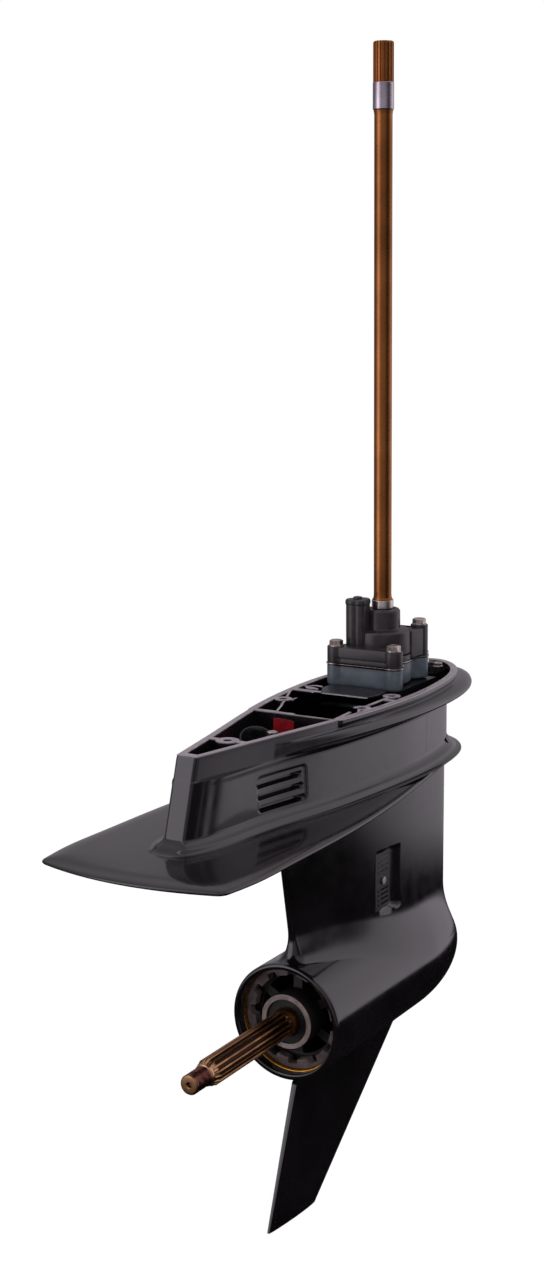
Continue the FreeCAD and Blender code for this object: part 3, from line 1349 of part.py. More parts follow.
nut_rear = -S.torpedo_rear + S.rim_recess
nut_front = nut_rear + S.nut_thick
washer_front = nut_front + S.lock_washer
carrier_outer = S.carrier_bore - S.run_gap
carrier_front = race_high - race_step
ring_thick = as_size(16.0)
carrier_turned = turned("CarrierTurned", [
    (S.seal_bore, -S.carrier_face), (S.carrier_hub, -S.carrier_face), (S.carrier_hub, race_low - 26),
    (carrier_outer, race_low - 14), (carrier_outer, race_low - 9), (carrier_outer - 3, race_low - 9),
    (carrier_outer - 3, race_low - 4), (carrier_outer, race_low - 4), (carrier_outer, carrier_front),
    (reverse_outer, carrier_front), (reverse_outer, race_low), (S.prop_journal + 5, race_low),
    (S.prop_journal + 5, -S.carrier_face + 34), (S.seal_bore, -S.carrier_face + 34)], "prop")
rear_flange = ring("CarrierFlange", carrier_outer, S.nut_inner - 3, washer_front + S.fit_gap,
                   washer_front + ring_thick, "prop")
webs = []
for i in range(6):
    web = Part.makeBox(S.nut_inner.value - S.carrier_hub.value, ring_thick.value - 1, 10,
                       Vector(S.carrier_hub.value - 1, washer_front.value + 0.5, -5))
    web.rotate(Vector(0, 0, 0), Vector(0, 1, 0), 60 * i + 30)
    web.translate(prop_centre)
    webs.append(solid_feature("CarrierWeb", web))
keep(fuse("BearingCarrier", [carrier_turned, rear_flange] + webs), "bearing_carrier")
keep(ring("CarrierORing", S.carrier_bore - S.fit_gap, carrier_outer - 3 + S.fit_gap, race_low - 8.5,
          race_low - 4.5, "prop"), "carrier_o_ring")
keep(group("PropShaftSeals", [
    ring("PropSeal", S.seal_bore - S.fit_gap, S.prop_journal + S.run_gap, low - S.carrier_face,
         low + 9 - S.carrier_face, "prop") for low in (3, 14)]), "prop_shaft_seals")
carrier_needle_low = -S.carrier_face + 38
carrier_needle = ring("CarrierNeedleShell", S.prop_journal + 5 - S.fit_gap, S.prop_journal + 4.2,
                      carrier_needle_low, carrier_needle_low + 30, "prop")
roller_x = S.prop_journal.value + 2.1
roller = roller_shape(2.0, 2.0, Vector(roller_x, carrier_needle_low.value + 2, -S.axis_drop.value),
                      Vector(roller_x, carrier_needle_low.value + 28, -S.axis_drop.value))
carrier_rollers = solid_feature("CarrierNeedles", Part.makeCompound(
    polar_copies(roller, int(S.needle_count.value), prop_centre, Vector(0, 1, 0))))
keep(group("CarrierNeedleBearing", [carrier_needle, carrier_rollers]), "carrier_needle_bearing")

ring_nut = ring("RingNutTurned", S.nut_radius, S.nut_inner, nut_rear, nut_front, "prop")
notch_root = S.nut_inner + S.nut_notch
polar_pocket(ring_nut, "NutNotch", "XZ_Plane", -nut_rear + 1,
             [(S.nut_inner - 3, -5.5), (notch_root, -5.5), (notch_root, 5.5), (S.nut_inner - 3, 5.5)],
             S.nut_thick + 2, S.nut_notches, False)
keep(ring_nut, "retaining_nut")
keep(ring("LockWasher", S.rim_bore - 0.1, S.nut_inner - 1, nut_front + S.fit_gap, washer_front, "prop"),
     "nut_lock_washer")

# Check every object, then write one file for each sub-part
doc.recompute()
for thing in doc.Objects:
    if "Invalid" in thing.State or "Error" in thing.State:
        raise RuntimeError(f"{thing.Label} failed: {thing.State}")
for thing in pieces:
    if thing.Shape.isNull() or not thing.Shape.isValid():
        raise RuntimeError(f"{thing.Label} has no valid shape")
os.makedirs("parts", exist_ok=True)
for thing in pieces:
    thing.Shape.exportStep(f"parts/{thing.Label}.step")
print(len(pieces), "sub-parts written")
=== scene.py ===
"""Outboard lower unit: surfaces, finishes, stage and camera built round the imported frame."""

import json
import math

import bmesh
import bpy
import numpy as np
from bpy.props import FloatProperty, FloatVectorProperty, PointerProperty
from mathutils import Matrix, Vector


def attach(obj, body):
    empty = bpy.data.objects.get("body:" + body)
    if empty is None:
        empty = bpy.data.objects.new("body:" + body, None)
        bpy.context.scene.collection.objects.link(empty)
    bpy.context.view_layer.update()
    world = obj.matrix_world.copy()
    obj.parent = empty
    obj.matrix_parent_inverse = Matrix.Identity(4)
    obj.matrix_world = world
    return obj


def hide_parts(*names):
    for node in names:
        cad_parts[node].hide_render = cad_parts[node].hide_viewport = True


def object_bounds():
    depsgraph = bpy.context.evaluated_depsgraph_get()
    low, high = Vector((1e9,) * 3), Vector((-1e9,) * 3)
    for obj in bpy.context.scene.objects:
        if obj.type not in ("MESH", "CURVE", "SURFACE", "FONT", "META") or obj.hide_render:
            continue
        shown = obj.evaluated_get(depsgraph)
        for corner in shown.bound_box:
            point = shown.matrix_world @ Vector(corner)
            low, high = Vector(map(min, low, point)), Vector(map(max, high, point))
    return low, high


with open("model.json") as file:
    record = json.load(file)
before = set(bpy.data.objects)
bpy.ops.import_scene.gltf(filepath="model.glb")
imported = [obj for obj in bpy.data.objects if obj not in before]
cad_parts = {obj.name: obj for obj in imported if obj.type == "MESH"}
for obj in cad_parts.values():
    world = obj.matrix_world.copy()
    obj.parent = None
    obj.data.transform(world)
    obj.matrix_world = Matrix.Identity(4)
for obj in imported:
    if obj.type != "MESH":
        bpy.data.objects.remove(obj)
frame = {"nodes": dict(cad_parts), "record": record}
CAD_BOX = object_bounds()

bl_info = {
    "name": "Outboard Lower Unit",
    "version": (1, 0, 0),
    "blender": (4, 5, 0),
    "location": "View3D > Sidebar > Lower Unit",
    "description": "Builds the surfaces and finishes of an outboard lower unit",
    "category": "Object",
}

MM = 0.001

# Sizes in millimetres, on the frame's own origin: the driveshaft's line at the deck
AXIS = -309.2
RAKE = 26.0 / 86.0
DECK_REAR, WIDEST, DECK_FRONT, BODY_FRONT = -375.0, -35.0, 128.0, 107.0
SNOUT_HALF, DECK_HALF, BODY_HALF = 10.5, 65.0, 61.0
LIP_REAR, LIP_FRONT, LIP_HALF = -361.0, 164.0, 76.0
PLATE_TOP, PLATE_LOW = -82.0, -89.2
PLATE_REAR, PLATE_WIDEST, PLATE_FRONT, PLATE_REAR_HALF, PLATE_HALF = -466.0, -370.0, 111.0, 96.0, 102.0
STRUT_HIGH, STRUT_LOW = (-221.0, 5.0, 114.0, 3.6, 43.6), (-177.0, 5.0, 114.0, 3.4, 43.0)
SCOOP_LOW, SCOOP_HIGH, SCOOP_REAR, SCOOP_FRONT = -229.5, -162.5, -84.2, -31.0
SCOOP_FLOOR, SCOOP_RISE = 35.3, 7.4
BARREL, NOSE_FROM, NOSE_REACH = 60.35, 9.0, 128.0
SHAFT_TEETH, PROP_TEETH, NUT_NOTCHES = 17, 15, 12
SPLINE_RADIUS, COTTER_AT, THREAD_PITCH = 13.6, -371.0, 1.6
REAR_BOLT, FRONT_BOLT = (33.6, -39.3), (25.2, 35.2)
REAR_SEAT, FRONT_SEAT = 40.1, 55.9
CHAMBER_BOLT = (15.0, -251.0)
NODES = frame["nodes"]


def hex_linear(text):
    """Linear red, green, blue and alpha of an sRGB hex colour."""
    levels = np.array([int(text[i:i + 2], 16) for i in (1, 3, 5)]) / 255.0
    linear = np.where(levels <= 0.04045, levels / 12.92, ((levels + 0.055) / 1.055) ** 2.4)
    return tuple(linear) + (1.0,)


# Curves and grids


def spline(points, share):
    """Clamped cubic spline through points, at shares of the distance run along its chords."""
    points = np.asarray(points, float)
    chords = np.linalg.norm(np.diff(points, axis=0), axis=1)
    knots = np.concatenate([[0.0], np.cumsum(chords)])
    count = len(points)
    inner = np.arange(1, count - 1)
    matrix = np.zeros((count, count))
    matrix[0, 0] = matrix[-1, -1] = 1.0
    matrix[inner, inner - 1] = chords[1:]
    matrix[inner, inner] = 2.0 * (chords[:-1] + chords[1:])
    matrix[inner, inner + 1] = chords[:-1]
    right = np.zeros((count, 2))
    right[0] = (points[1] - points[0]) / chords[0]
    right[-1] = (-1.0, 0.0)
    before, after = chords[:-1, None], chords[1:, None]
    right[1:-1] = 3.0 * (after * (points[1:-1] - points[:-2]) / before
                         + before * (points[2:] - points[1:-1]) / after)
    slopes = np.linalg.solve(matrix, right)
    t = share * knots[-1]
    i = np.clip(np.searchsorted(knots, t, side="right") - 1, 0, count - 2)
    h = chords[i][:, None]
    s = ((t - knots[i]) / chords[i])[:, None]
    return (points[i] * (2 * s**3 - 3 * s**2 + 1) + slopes[i] * h * (s**3 - 2 * s**2 + s)
            + points[i + 1] * (3 * s**2 - 2 * s**3) + slopes[i + 1] * h * (s**3 - s**2))


AFT = [(0.0, 0.0), (0.28, 0.36), (0.53, 0.70), (0.735, 0.905), (0.87, 0.98), (1.0, 1.0)]
BODY_AFT = [(0.0, 0.0), (0.014, 0.05), (0.245, 0.36), (0.5, 0.70), (0.715, 0.905), (0.86, 0.98), (1.0, 1.0)]
BOW = [(0.33, 0.935), (0.66, 0.76), (0.86, 0.50), (0.965, 0.235), (1.0, 0.0)]
LIP_AFT = [(0.0, 0.0), (0.3, 0.36), (0.55, 0.69), (0.76, 0.90), (0.9, 0.98), (1.0, 1.0)]
LIP_BOW = [(0.32, 0.965), (0.62, 0.80), (0.83, 0.54), (0.96, 0.26), (1.0, 0.0)]
PLATE_AFT = [(0.0, 0.0), (0.4, 0.85), (1.0, 1.0)]
PLATE_BOW = [(0.19, 0.99), (0.365, 0.94), (0.575, 0.815), (0.695, 0.715), (0.77, 0.625), (0.87, 0.43),
             (0.96, 0.215), (1.0, 0.0)]
STRUT_AFT = [(0.0, 0.0), (0.12, 0.17), (0.32, 0.44), (0.56, 0.76), (0.78, 0.945), (1.0, 1.0)]
STRUT_BOW = [(0.36, 0.965), (0.66, 0.80), (0.86, 0.55), (0.965, 0.27), (1.0, 0.0)]


def side_points(rear, widest, bow_y, rear_half, half, aft=AFT, bow=BOW):
    """Starboard side of a plan outline, from the rear corner to the bow."""
    points = [(rear_half + w * (half - rear_half), rear + t * (widest - rear)) for t, w in aft]
    return points + [(w * half, widest + t * (bow_y - widest)) for t, w in bow]


def outline(points, share, corner=2.5, stern_bow=0.0):
    """Closed ring, counterclockwise from above: stern line, rounded corner, side spline, mirrored side.

    The corner is a curve of second degree between stern line and side, with its middle point there."""
    rear_x, rear_y = points[0]
    corner = min(corner, rear_x * 0.7)
    length = np.linalg.norm(np.diff(np.asarray(points), axis=0), axis=1).sum()
    side = spline(points, corner / length + (1.0 - corner / length) * share)
    x = np.linspace(0.0, rear_x - corner, 9)
    stern = np.stack([x, rear_y - stern_bow * (1.0 - (x / rear_x) ** 2)], axis=1)
    s = np.linspace(0.0, 1.0, 8)[:, None]
    bend = stern[-1] * (1 - s) ** 2 + np.array([rear_x, rear_y]) * 2 * s * (1 - s) + side[0] * s**2
    half = np.concatenate([stern[:-1], bend[:-1], side])
    half[-1, 0] = 0.0
    return np.concatenate([half, half[1:-1][::-1] * (-1.0, 1.0)])


def shares(count, dense=()):
    """Shares from 0 to 1 that lie closer together inside each dense (start, end, weight) span."""
    x = np.linspace(0.0, 1.0, 4001)
    weight = np.ones_like(x)
    for start, end, gain in dense:
        weight += gain * ((x > start) & (x < end))
    total = np.concatenate([[0.0], np.cumsum((weight[1:] + weight[:-1]) / 2)])
    return np.interp(np.linspace(0.0, 1.0, count), total / total[-1], x)


def outward(ring):
    """Unit normals of a closed counterclockwise ring."""
    along = np.roll(ring, -1, axis=0) - np.roll(ring, 1, axis=0)
    normal = np.stack([along[:, 1], -along[:, 0]], axis=1)
    return normal / np.linalg.norm(normal, axis=1)[:, None]


def at_height(ring, z):
    return np.column_stack([ring, np.broadcast_to(z, (len(ring),))])


def spine(ring, z):
    """Row that closes a ring flat: every point slides across to the middle line."""
    return np.column_stack([ring[:, 0] * 0.0, ring[:, 1], np.broadcast_to(z, (len(ring),))])


def smooth_step(x, low, high):
    s = np.clip((x - low) / (high - low), 0.0, 1.0)
    return s * s * (3.0 - 2.0 * s)


def rounded(corners, radius, steps=6):
    """Closed ring through corners, each one rounded by a curve of second degree."""
    corners = np.asarray(corners, float)
    back = np.roll(corners, 1, axis=0) - corners
    ahead = np.roll(corners, -1, axis=0) - corners
    radius = np.broadcast_to(np.asarray(radius, float), (len(corners),))[:, None]
    start = corners + back / np.linalg.norm(back, axis=1)[:, None] * radius
    end = corners + ahead / np.linalg.norm(ahead, axis=1)[:, None] * radius
    s = np.linspace(0.0, 1.0, steps)[None, :, None]
    ring = start[:, None] * (1 - s) ** 2 + corners[:, None] * 2 * s * (1 - s) + end[:, None] * s**2
    return ring.reshape(-1, 2)


def turned(profile, line, count=96, centre=(0.0, 0.0, 0.0), wave=None):
    """Profile of (radius, distance) carried round a line; a wave may change the radius."""
    profile = np.asarray(profile, float)
    angle = np.linspace(0.0, math.tau, count, endpoint=False)[None, :]
    radius = np.repeat(profile[:, :1], count, axis=1)
    along = np.repeat(profile[:, 1:], count, axis=1)
    if wave is not None:
        radius = wave(angle, along, radius)
    across, up = radius * np.cos(angle), radius * np.sin(angle)
    order = {"x": (along, across, up), "y": (up, along, across), "z": (across, up, along)}[line]
    return np.stack(order, axis=-1) + np.asarray(centre, float)


def arc_profile(start, end, bulge_to, steps=5):
    """Points of a rounded corner from start to end whose edges would meet at bulge_to."""
    s = np.linspace(0.0, 1.0, steps)[:, None]
    return np.array(start) * (1 - s) ** 2 + np.array(bulge_to) * 2 * s * (1 - s) + np.array(end) * s**2


def soft_profile(points, radius=0.6):
    """Open profile with its inner corners rounded."""
    rows = [np.asarray(points[:1], float)]
    for before, corner, after in zip(points[:-2], points[1:-1], points[2:]):
        corner = np.asarray(corner, float)
        back, ahead = np.asarray(before, float) - corner, np.asarray(after, float) - corner
        reach_back, reach_ahead = np.linalg.norm(back), np.linalg.norm(ahead)
        step = min(radius, reach_back * 0.45, reach_ahead * 0.45)
        rows.append(arc_profile(corner + back / reach_back * step, corner + ahead / reach_ahead * step,
                                corner, 4))
    rows.append(np.asarray(points[-1:], float))
    return np.concatenate(rows)


def slab(ring, low, high, soften=1.0, foot=None):
    """Plate between two heights: rings shrink on a quarter round at both faces, closed on the middle."""
    foot = soften if foot is None else foot
    normal = outward(ring)
    rows = [spine(ring - normal * foot, low)]
    for s in np.linspace(0.0, 1.0, 5):
        turn = s * math.pi / 2
        rows.append(at_height(ring - normal * foot * (1 - math.sin(turn)), low + foot * (1 - math.cos(turn))))
    for s in np.linspace(0.0, 1.0, 5):
        turn = s * math.pi / 2
        rows.append(at_height(ring - normal * soften * (1 - math.cos(turn)),
                              high - soften * (1 - math.sin(turn))))
    rows.append(spine(ring - normal * soften, high))
    return np.stack(rows)


def weave(grid, wrap):
    """Corners and quads of one grid; wrap joins the last column to the first."""
    rows, columns = grid.shape[:2]
    index = np.arange(rows * columns).reshape(rows, columns)
    if wrap:
        index = np.concatenate([index, index[:, :1]], axis=1)
    quads = np.stack([index[:-1, :-1], index[1:, :-1], index[1:, 1:], index[:-1, 1:]], axis=-1)
    return grid.reshape(-1, 3), quads.reshape(-1, 4)


def make_piece(name, grids, finish, body, stands_for=(), sharp=38.0, closed=True, extra=None):
    """Mesh object from grids in millimetres, with doubles merged, shaded smooth up to an angle."""
    corners, quads, count = [], [], 0
    for grid, wrap in grids:
        points, faces = weave(grid, wrap)
        corners.append(points)
        quads += (faces + count).tolist()
        count += len(points)
    if extra is not None:
        corners.append(extra[0])
        quads += (extra[1] + count).tolist()
    mesh = bpy.data.meshes.new(name)
    mesh.from_pydata(np.concatenate(corners) * MM, [], quads)
    work = bmesh.new()
    work.from_mesh(mesh)
    bmesh.ops.remove_doubles(work, verts=work.verts, dist=2e-6)
    bmesh.ops.dissolve_degenerate(work, dist=1e-7, edges=work.edges)
    if closed:
        bmesh.ops.recalc_face_normals(work, faces=work.faces)
    work.to_mesh(mesh)
    work.free()
    mesh.shade_smooth()
    mesh.set_sharp_from_angle(angle=math.radians(sharp))
    mesh.materials.append(finish)
    thing = bpy.data.objects.new(name, mesh)
    bpy.context.scene.collection.objects.link(thing)
    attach(thing, body)
    if stands_for:
        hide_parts(*stands_for)
    return thing


def node_mesh(node):
    """Corners in millimetres and triangles of a CAD node."""
    mesh = NODES[node].data
    corners = np.zeros(len(mesh.vertices) * 3)
    mesh.vertices.foreach_get("co", corners)
    triangles = np.zeros(len(mesh.loop_triangles) * 3, np.int32)
    mesh.loop_triangles.foreach_get("vertices", triangles)
    return corners.reshape(-1, 3) / MM, triangles.reshape(-1, 3)


# Finishes


def add_node(tree, kind, settings=None, **links):
    """Adds one node, sets its properties and sockets, and links the sockets that are given."""
    node = tree.nodes.new("ShaderNode" + kind)
    for key, value in (settings or {}).items():
        if hasattr(node, key) and key not in node.inputs:
            setattr(node, key, value)
        else:
            node.inputs[key].default_value = value
    for key, source in links.items():
        spaced = key.replace("_", " ")
        tree.links.new(source, node.inputs[spaced if spaced in node.inputs else key])
    return node


def new_finish(name, settings):
    """Material with one shader, set on its own sockets; gives material, tree, shader and coordinates."""
    material = bpy.data.materials.new(name)
    material.use_nodes = True
    tree = material.node_tree
    tree.nodes.clear()
    shader = add_node(tree, "BsdfPrincipled", settings)
    output = add_node(tree, "OutputMaterial")
    tree.links.new(shader.outputs["BSDF"], output.inputs["Surface"])
    place = add_node(tree, "TexCoord").outputs["Object"]
    return material, tree, shader, place


def tone(colour, share=1.0):
    """Node colour from a hex text or a colour of the panel, made darker or lighter by a share."""
    values = hex_linear(colour) if isinstance(colour, str) else tuple(colour)
    return tuple(min(1.0, value * share) for value in values[:3]) + (1.0,)


def two_tones(tree, shader, place, dark, light, size_mm, low=0.35, high=0.65, detail=4.0):
    """Colour that drifts between two tones in patches of a real size; gives the socket that holds it."""
    noise = add_node(tree, "TexNoise", {"Scale": 1.0 / (size_mm * MM), "Detail": detail}, Vector=place)
    ramp = add_node(tree, "ValToRGB", Fac=noise.outputs["Fac"])
    ramp.color_ramp.elements[0].position, ramp.color_ramp.elements[0].color = low, dark
    ramp.color_ramp.elements[1].position, ramp.color_ramp.elements[1].color = high, light
    tree.links.new(ramp.outputs["Color"], shader.inputs["Base Color"])
    return ramp.outputs["Color"]


def roughness_and_bump(tree, shader, place, rough, size_mm, height_mm, stretch=(1, 1, 1), detail=3.0):
    """Roughness between two values and a bump of a real height, both from one noise of a real size."""
    spread = add_node(tree, "Mapping", {"Scale": stretch}, Vector=place)
    noise = add_node(tree, "TexNoise", {"Scale": 1.0 / (size_mm * MM), "Detail": detail},
                     Vector=spread.outputs[0])
    span = add_node(tree, "MapRange", {"From Min": 0.3, "From Max": 0.7, "To Min": rough[0],
                                       "To Max": rough[1]}, Value=noise.outputs["Fac"])
    tree.links.new(span.outputs["Result"], shader.inputs["Roughness"])
    bump = add_node(tree, "Bump", {"Distance": height_mm * MM, "Strength": 1.0}, Height=noise.outputs["Fac"])
    tree.links.new(bump.outputs["Normal"], shader.inputs["Normal"])


def blend_where(tree, shader, share, below, above):
    """Base colour that goes from one socket or colour to another as a share goes from 0 to 1."""
    mix = add_node(tree, "Mix", {"data_type": "RGBA"})
    tree.links.new(share, mix.inputs["Factor"])
    for socket, value in ((mix.inputs[6], below), (mix.inputs[7], above)):
        if isinstance(value, tuple):
            socket.default_value = value
        else:
            tree.links.new(value, socket)
    tree.links.new(mix.outputs[2], shader.inputs["Base Color"])
    return mix.outputs[2]


def rise(tree, place, axis, start, end):
    """Share that goes from 0 to 1 as one coordinate goes from start to end, both in millimetres."""
    split = add_node(tree, "SeparateXYZ", Vector=place)
    return add_node(tree, "MapRange", {"From Min": start * MM, "From Max": end * MM},
                    Value=split.outputs[axis]).outputs["Result"]


def from_axis(tree, place, start, end):
    """Share that goes from 0 to 1 with the distance from the propeller line, in millimetres."""
    flat = add_node(tree, "Mapping", {"Location": (0.0, 0.0, -AXIS * MM), "Scale": (1.0, 0.0, 1.0)},
                    Vector=place)
    far = add_node(tree, "VectorMath", {"operation": "LENGTH"})
    tree.links.new(flat.outputs[0], far.inputs[0])
    return add_node(tree, "MapRange", {"From Min": start * MM, "From Max": end * MM},
                    Value=far.outputs["Value"]).outputs["Result"]


FINISH = {}


def make_finishes(colours):
    """Every finish of the part, from the colours in the panel."""

    def metal(name, dark, light, rough, size, stretch, bump, patch=30.0, **settings):
        material, tree, shader, place = new_finish(name, {"Metallic": 1.0, **settings})
        colour = two_tones(tree, shader, place, tone(dark), tone(light), patch)
        roughness_and_bump(tree, shader, place, rough, size, bump, stretch)
        FINISH[name] = material
        return tree, shader, place, colour

    # Gloss enamel over cast aluminium: deep black, slightly wavy, worn to metal on the deck's edge
    material, tree, shader, place = new_finish("gloss_enamel_on_casting", {
        "IOR": 1.5, "Coat Weight": 0.35, "Coat Roughness": 0.04})
    black = two_tones(tree, shader, place, tone(colours.enamel, 0.7), tone(colours.enamel, 1.5), 60.0)
    blend_where(tree, shader, rise(tree, place, "Z", -0.9, -0.2), black, tone(colours.bare_metal))
    roughness_and_bump(tree, shader, place, (0.12, 0.2), 14.0, 0.006)
    FINISH["paint"] = material

    # Enamel inside the deck, with the machined rim and ribs left bare and dull
    material, tree, shader, place = new_finish("enamel_and_machined_deck", {"IOR": 1.5})
    bare = two_tones(tree, shader, place, tone(colours.bare_metal, 0.8), tone(colours.bare_metal, 1.3), 12.0)
    blend_where(tree, shader, rise(tree, place, "Z", -1.2, -0.3), tone(colours.enamel), bare)
    roughness_and_bump(tree, shader, place, (0.24, 0.4), 3.0, 0.012)
    FINISH["deck"] = material

    # Ground steel with a bronze-brown wash: fine rings round the shaft and a slow drift of tone along it
    metal("bronze_wash_on_ground_steel", tone(colours.shaft_wash, 0.7), tone(colours.shaft_wash, 1.25),
          (0.26, 0.36), 1.6, (0.15, 0.15, 1.0), 0.003, 70.0)
    FINISH["bronze"] = FINISH["bronze_wash_on_ground_steel"]

    # Machined spline: grooves coloured darker, #2A1A12, between gold-brown lands, brighter where the chamfer
    # was cut
    tree, shader, place, land = metal("gold_brown_machined_spline", "#7E5638", "#A97C50", (0.24, 0.34), 2.4,
                                      (1.0, 0.08, 1.0), 0.002, 20.0)
    # Darker colour inside the groove radius, the land colour outside it
    worn = blend_where(tree, shader, from_axis(tree, place, 11.9, 13.2), tone("#2A1A12"), land)
    blend_where(tree, shader, rise(tree, place, "Y", -348.5, -344.5), tone("#D0A478"), worn)
    # Cut thread: red-brown flanks, with the bare gold-brown end face
    tree, shader, place, thread = metal("red_brown_cut_thread", "#6B3F3A", "#8E5C50", (0.3, 0.42), 1.5,
                                        (1.0, 1.0, 1.0), 0.003, 6.0)
    blend_where(tree, shader, rise(tree, place, "Y", -379.6, -378.2), tone("#A8825C"), thread)
    metal("ground_bearing_band_steel", "#A49CA4", "#C3BAC2", (0.22, 0.3), 1.2, (0.1, 0.1, 1.0), 0.002, 20.0)
    metal("rolled_stainless", "#9B8F86", "#BDB2A8", (0.24, 0.34), 1.5, (1.0, 1.0, 0.2), 0.002, 25.0)
    metal("turned_stainless", "#BDB5B0", "#DCD4CE", (0.22, 0.32), 1.2, (0.1, 0.1, 1.0), 0.002, 12.0)
    metal("worn_bright_fastener_steel", "#A39A92", "#D6CDC4", (0.28, 0.42), 2.5, (1.0, 1.0, 1.0), 0.008, 4.0)
    metal("hardened_gear_steel", "#6E6A68", "#8F8A87", (0.26, 0.4), 1.5, (1.0, 1.0, 1.0), 0.006, 10.0)
    metal("ground_bearing_steel", "#9A999B", "#C2C1C3", (0.12, 0.24), 1.0, (1.0, 1.0, 1.0), 0.003, 12.0)
    metal("gold_chromate_plate", "#A8741A", "#D2A043", (0.24, 0.36), 1.5, (1.0, 1.0, 1.0), 0.003, 9.0)
    metal("dark_oxide_washer", "#2C2422", "#40342F", (0.3, 0.42), 1.5, (1.0, 1.0, 1.0), 0.004, 9.0)

    # Dark primer over turned aluminium: matt grey-brown with faint mottling
    material, tree, shader, place = new_finish("dark_primer_on_turned_aluminium", {"Metallic": 0.2})
    two_tones(tree, shader, place, tone("#463B3A"), tone("#64585A"), 9.0)
    roughness_and_bump(tree, shader, place, (0.42, 0.6), 1.2, 0.012)
    FINISH["primer"] = material

    # Same primer on the carrier, with the hub's end face turned bare; in the recess, painted shade makes it
    # nearly black
    material, tree, shader, place = new_finish("primed_carrier_turned_face_and_painted_recess_shade", {"Metallic": 0.2})
    face = two_tones(tree, shader, place, tone("#6B5F5C"), tone("#857874"), 7.0)
    # Forward of the end face the colour is painted shade, nearly black #161213, for the recess
    blend_where(tree, shader, rise(tree, place, "Y", -204.4, -203.6), face, tone("#161213"))
    roughness_and_bump(tree, shader, place, (0.36, 0.5), 1.2, 0.01)
    FINISH["hub"] = material

    # Satin grey-blue paint over a cast base, drifting between two tones in patches
    material, tree, shader, place = new_finish("satin_paint_on_pump_base", {"IOR": 1.48})
    two_tones(tree, shader, place, tone(colours.pump_base, 0.78), tone(colours.pump_base, 1.2), 16.0)
    roughness_and_bump(tree, shader, place, (0.3, 0.42), 1.6, 0.01)
    FINISH["base"] = material

    # Moulded plastics, rubber and thin sheet: fine grain, roughness that wanders a little
    for name, colour, rough, grain in (
            ("moulded_pump_plastic", colours.pump_plastic, (0.3, 0.42), 0.012),
            ("moulded_guide_plastic", "#161417", (0.3, 0.42), 0.01),
            ("glossy_black_duct", "#0E0D0F", (0.14, 0.22), 0.006),
            ("light_rubber_faced_plastic", "#77787F", (0.42, 0.55), 0.02),
            ("moulded_black_rubber", "#0C0C0C", (0.45, 0.6), 0.012),
            ("thin_red_plastic", colours.tag, (0.32, 0.42), 0.006)):
        material, tree, shader, place = new_finish(name, {"IOR": 1.5})
        two_tones(tree, shader, place, tone(colour, 0.8), tone(colour, 1.3), 8.0)
        roughness_and_bump(tree, shader, place, rough, 1.0, grain)
        FINISH[name] = material


# Gear housing


def deck_side(inset=0.0, rake=0.0):
    return side_points(DECK_REAR - rake + inset, WIDEST, DECK_FRONT - inset, SNOUT_HALF - inset * 0.9,
                       DECK_HALF - inset)


def body_side(rake, spread=0.0):
    return side_points(DECK_REAR - rake, WIDEST, BODY_FRONT + spread * 0.4, SNOUT_HALF + spread * 0.4,
                       BODY_HALF + spread, BODY_AFT)


def reach_along(ring, normal, curve):
    """How far a closed curve lies outside each point of a ring, along its normal; never below zero."""
    step = np.roll(curve, -1, axis=0) - curve
    gap = curve[None] - ring[:, None]
    cross = normal[:, None, 0] * step[None, :, 1] - normal[:, None, 1] * step[None, :, 0]
    cross = np.where(np.abs(cross) < 1e-9, 1e-9, cross)
    along = (gap[..., 0] * step[None, :, 1] - gap[..., 1] * step[None, :, 0]) / cross
    part = (gap[..., 0] * normal[:, None, 1] - gap[..., 1] * normal[:, None, 0]) / cross
    hit = (part >= 0.0) & (part <= 1.0) & (along > 0.0)
    return np.max(np.where(hit, along, 0.0), axis=1)


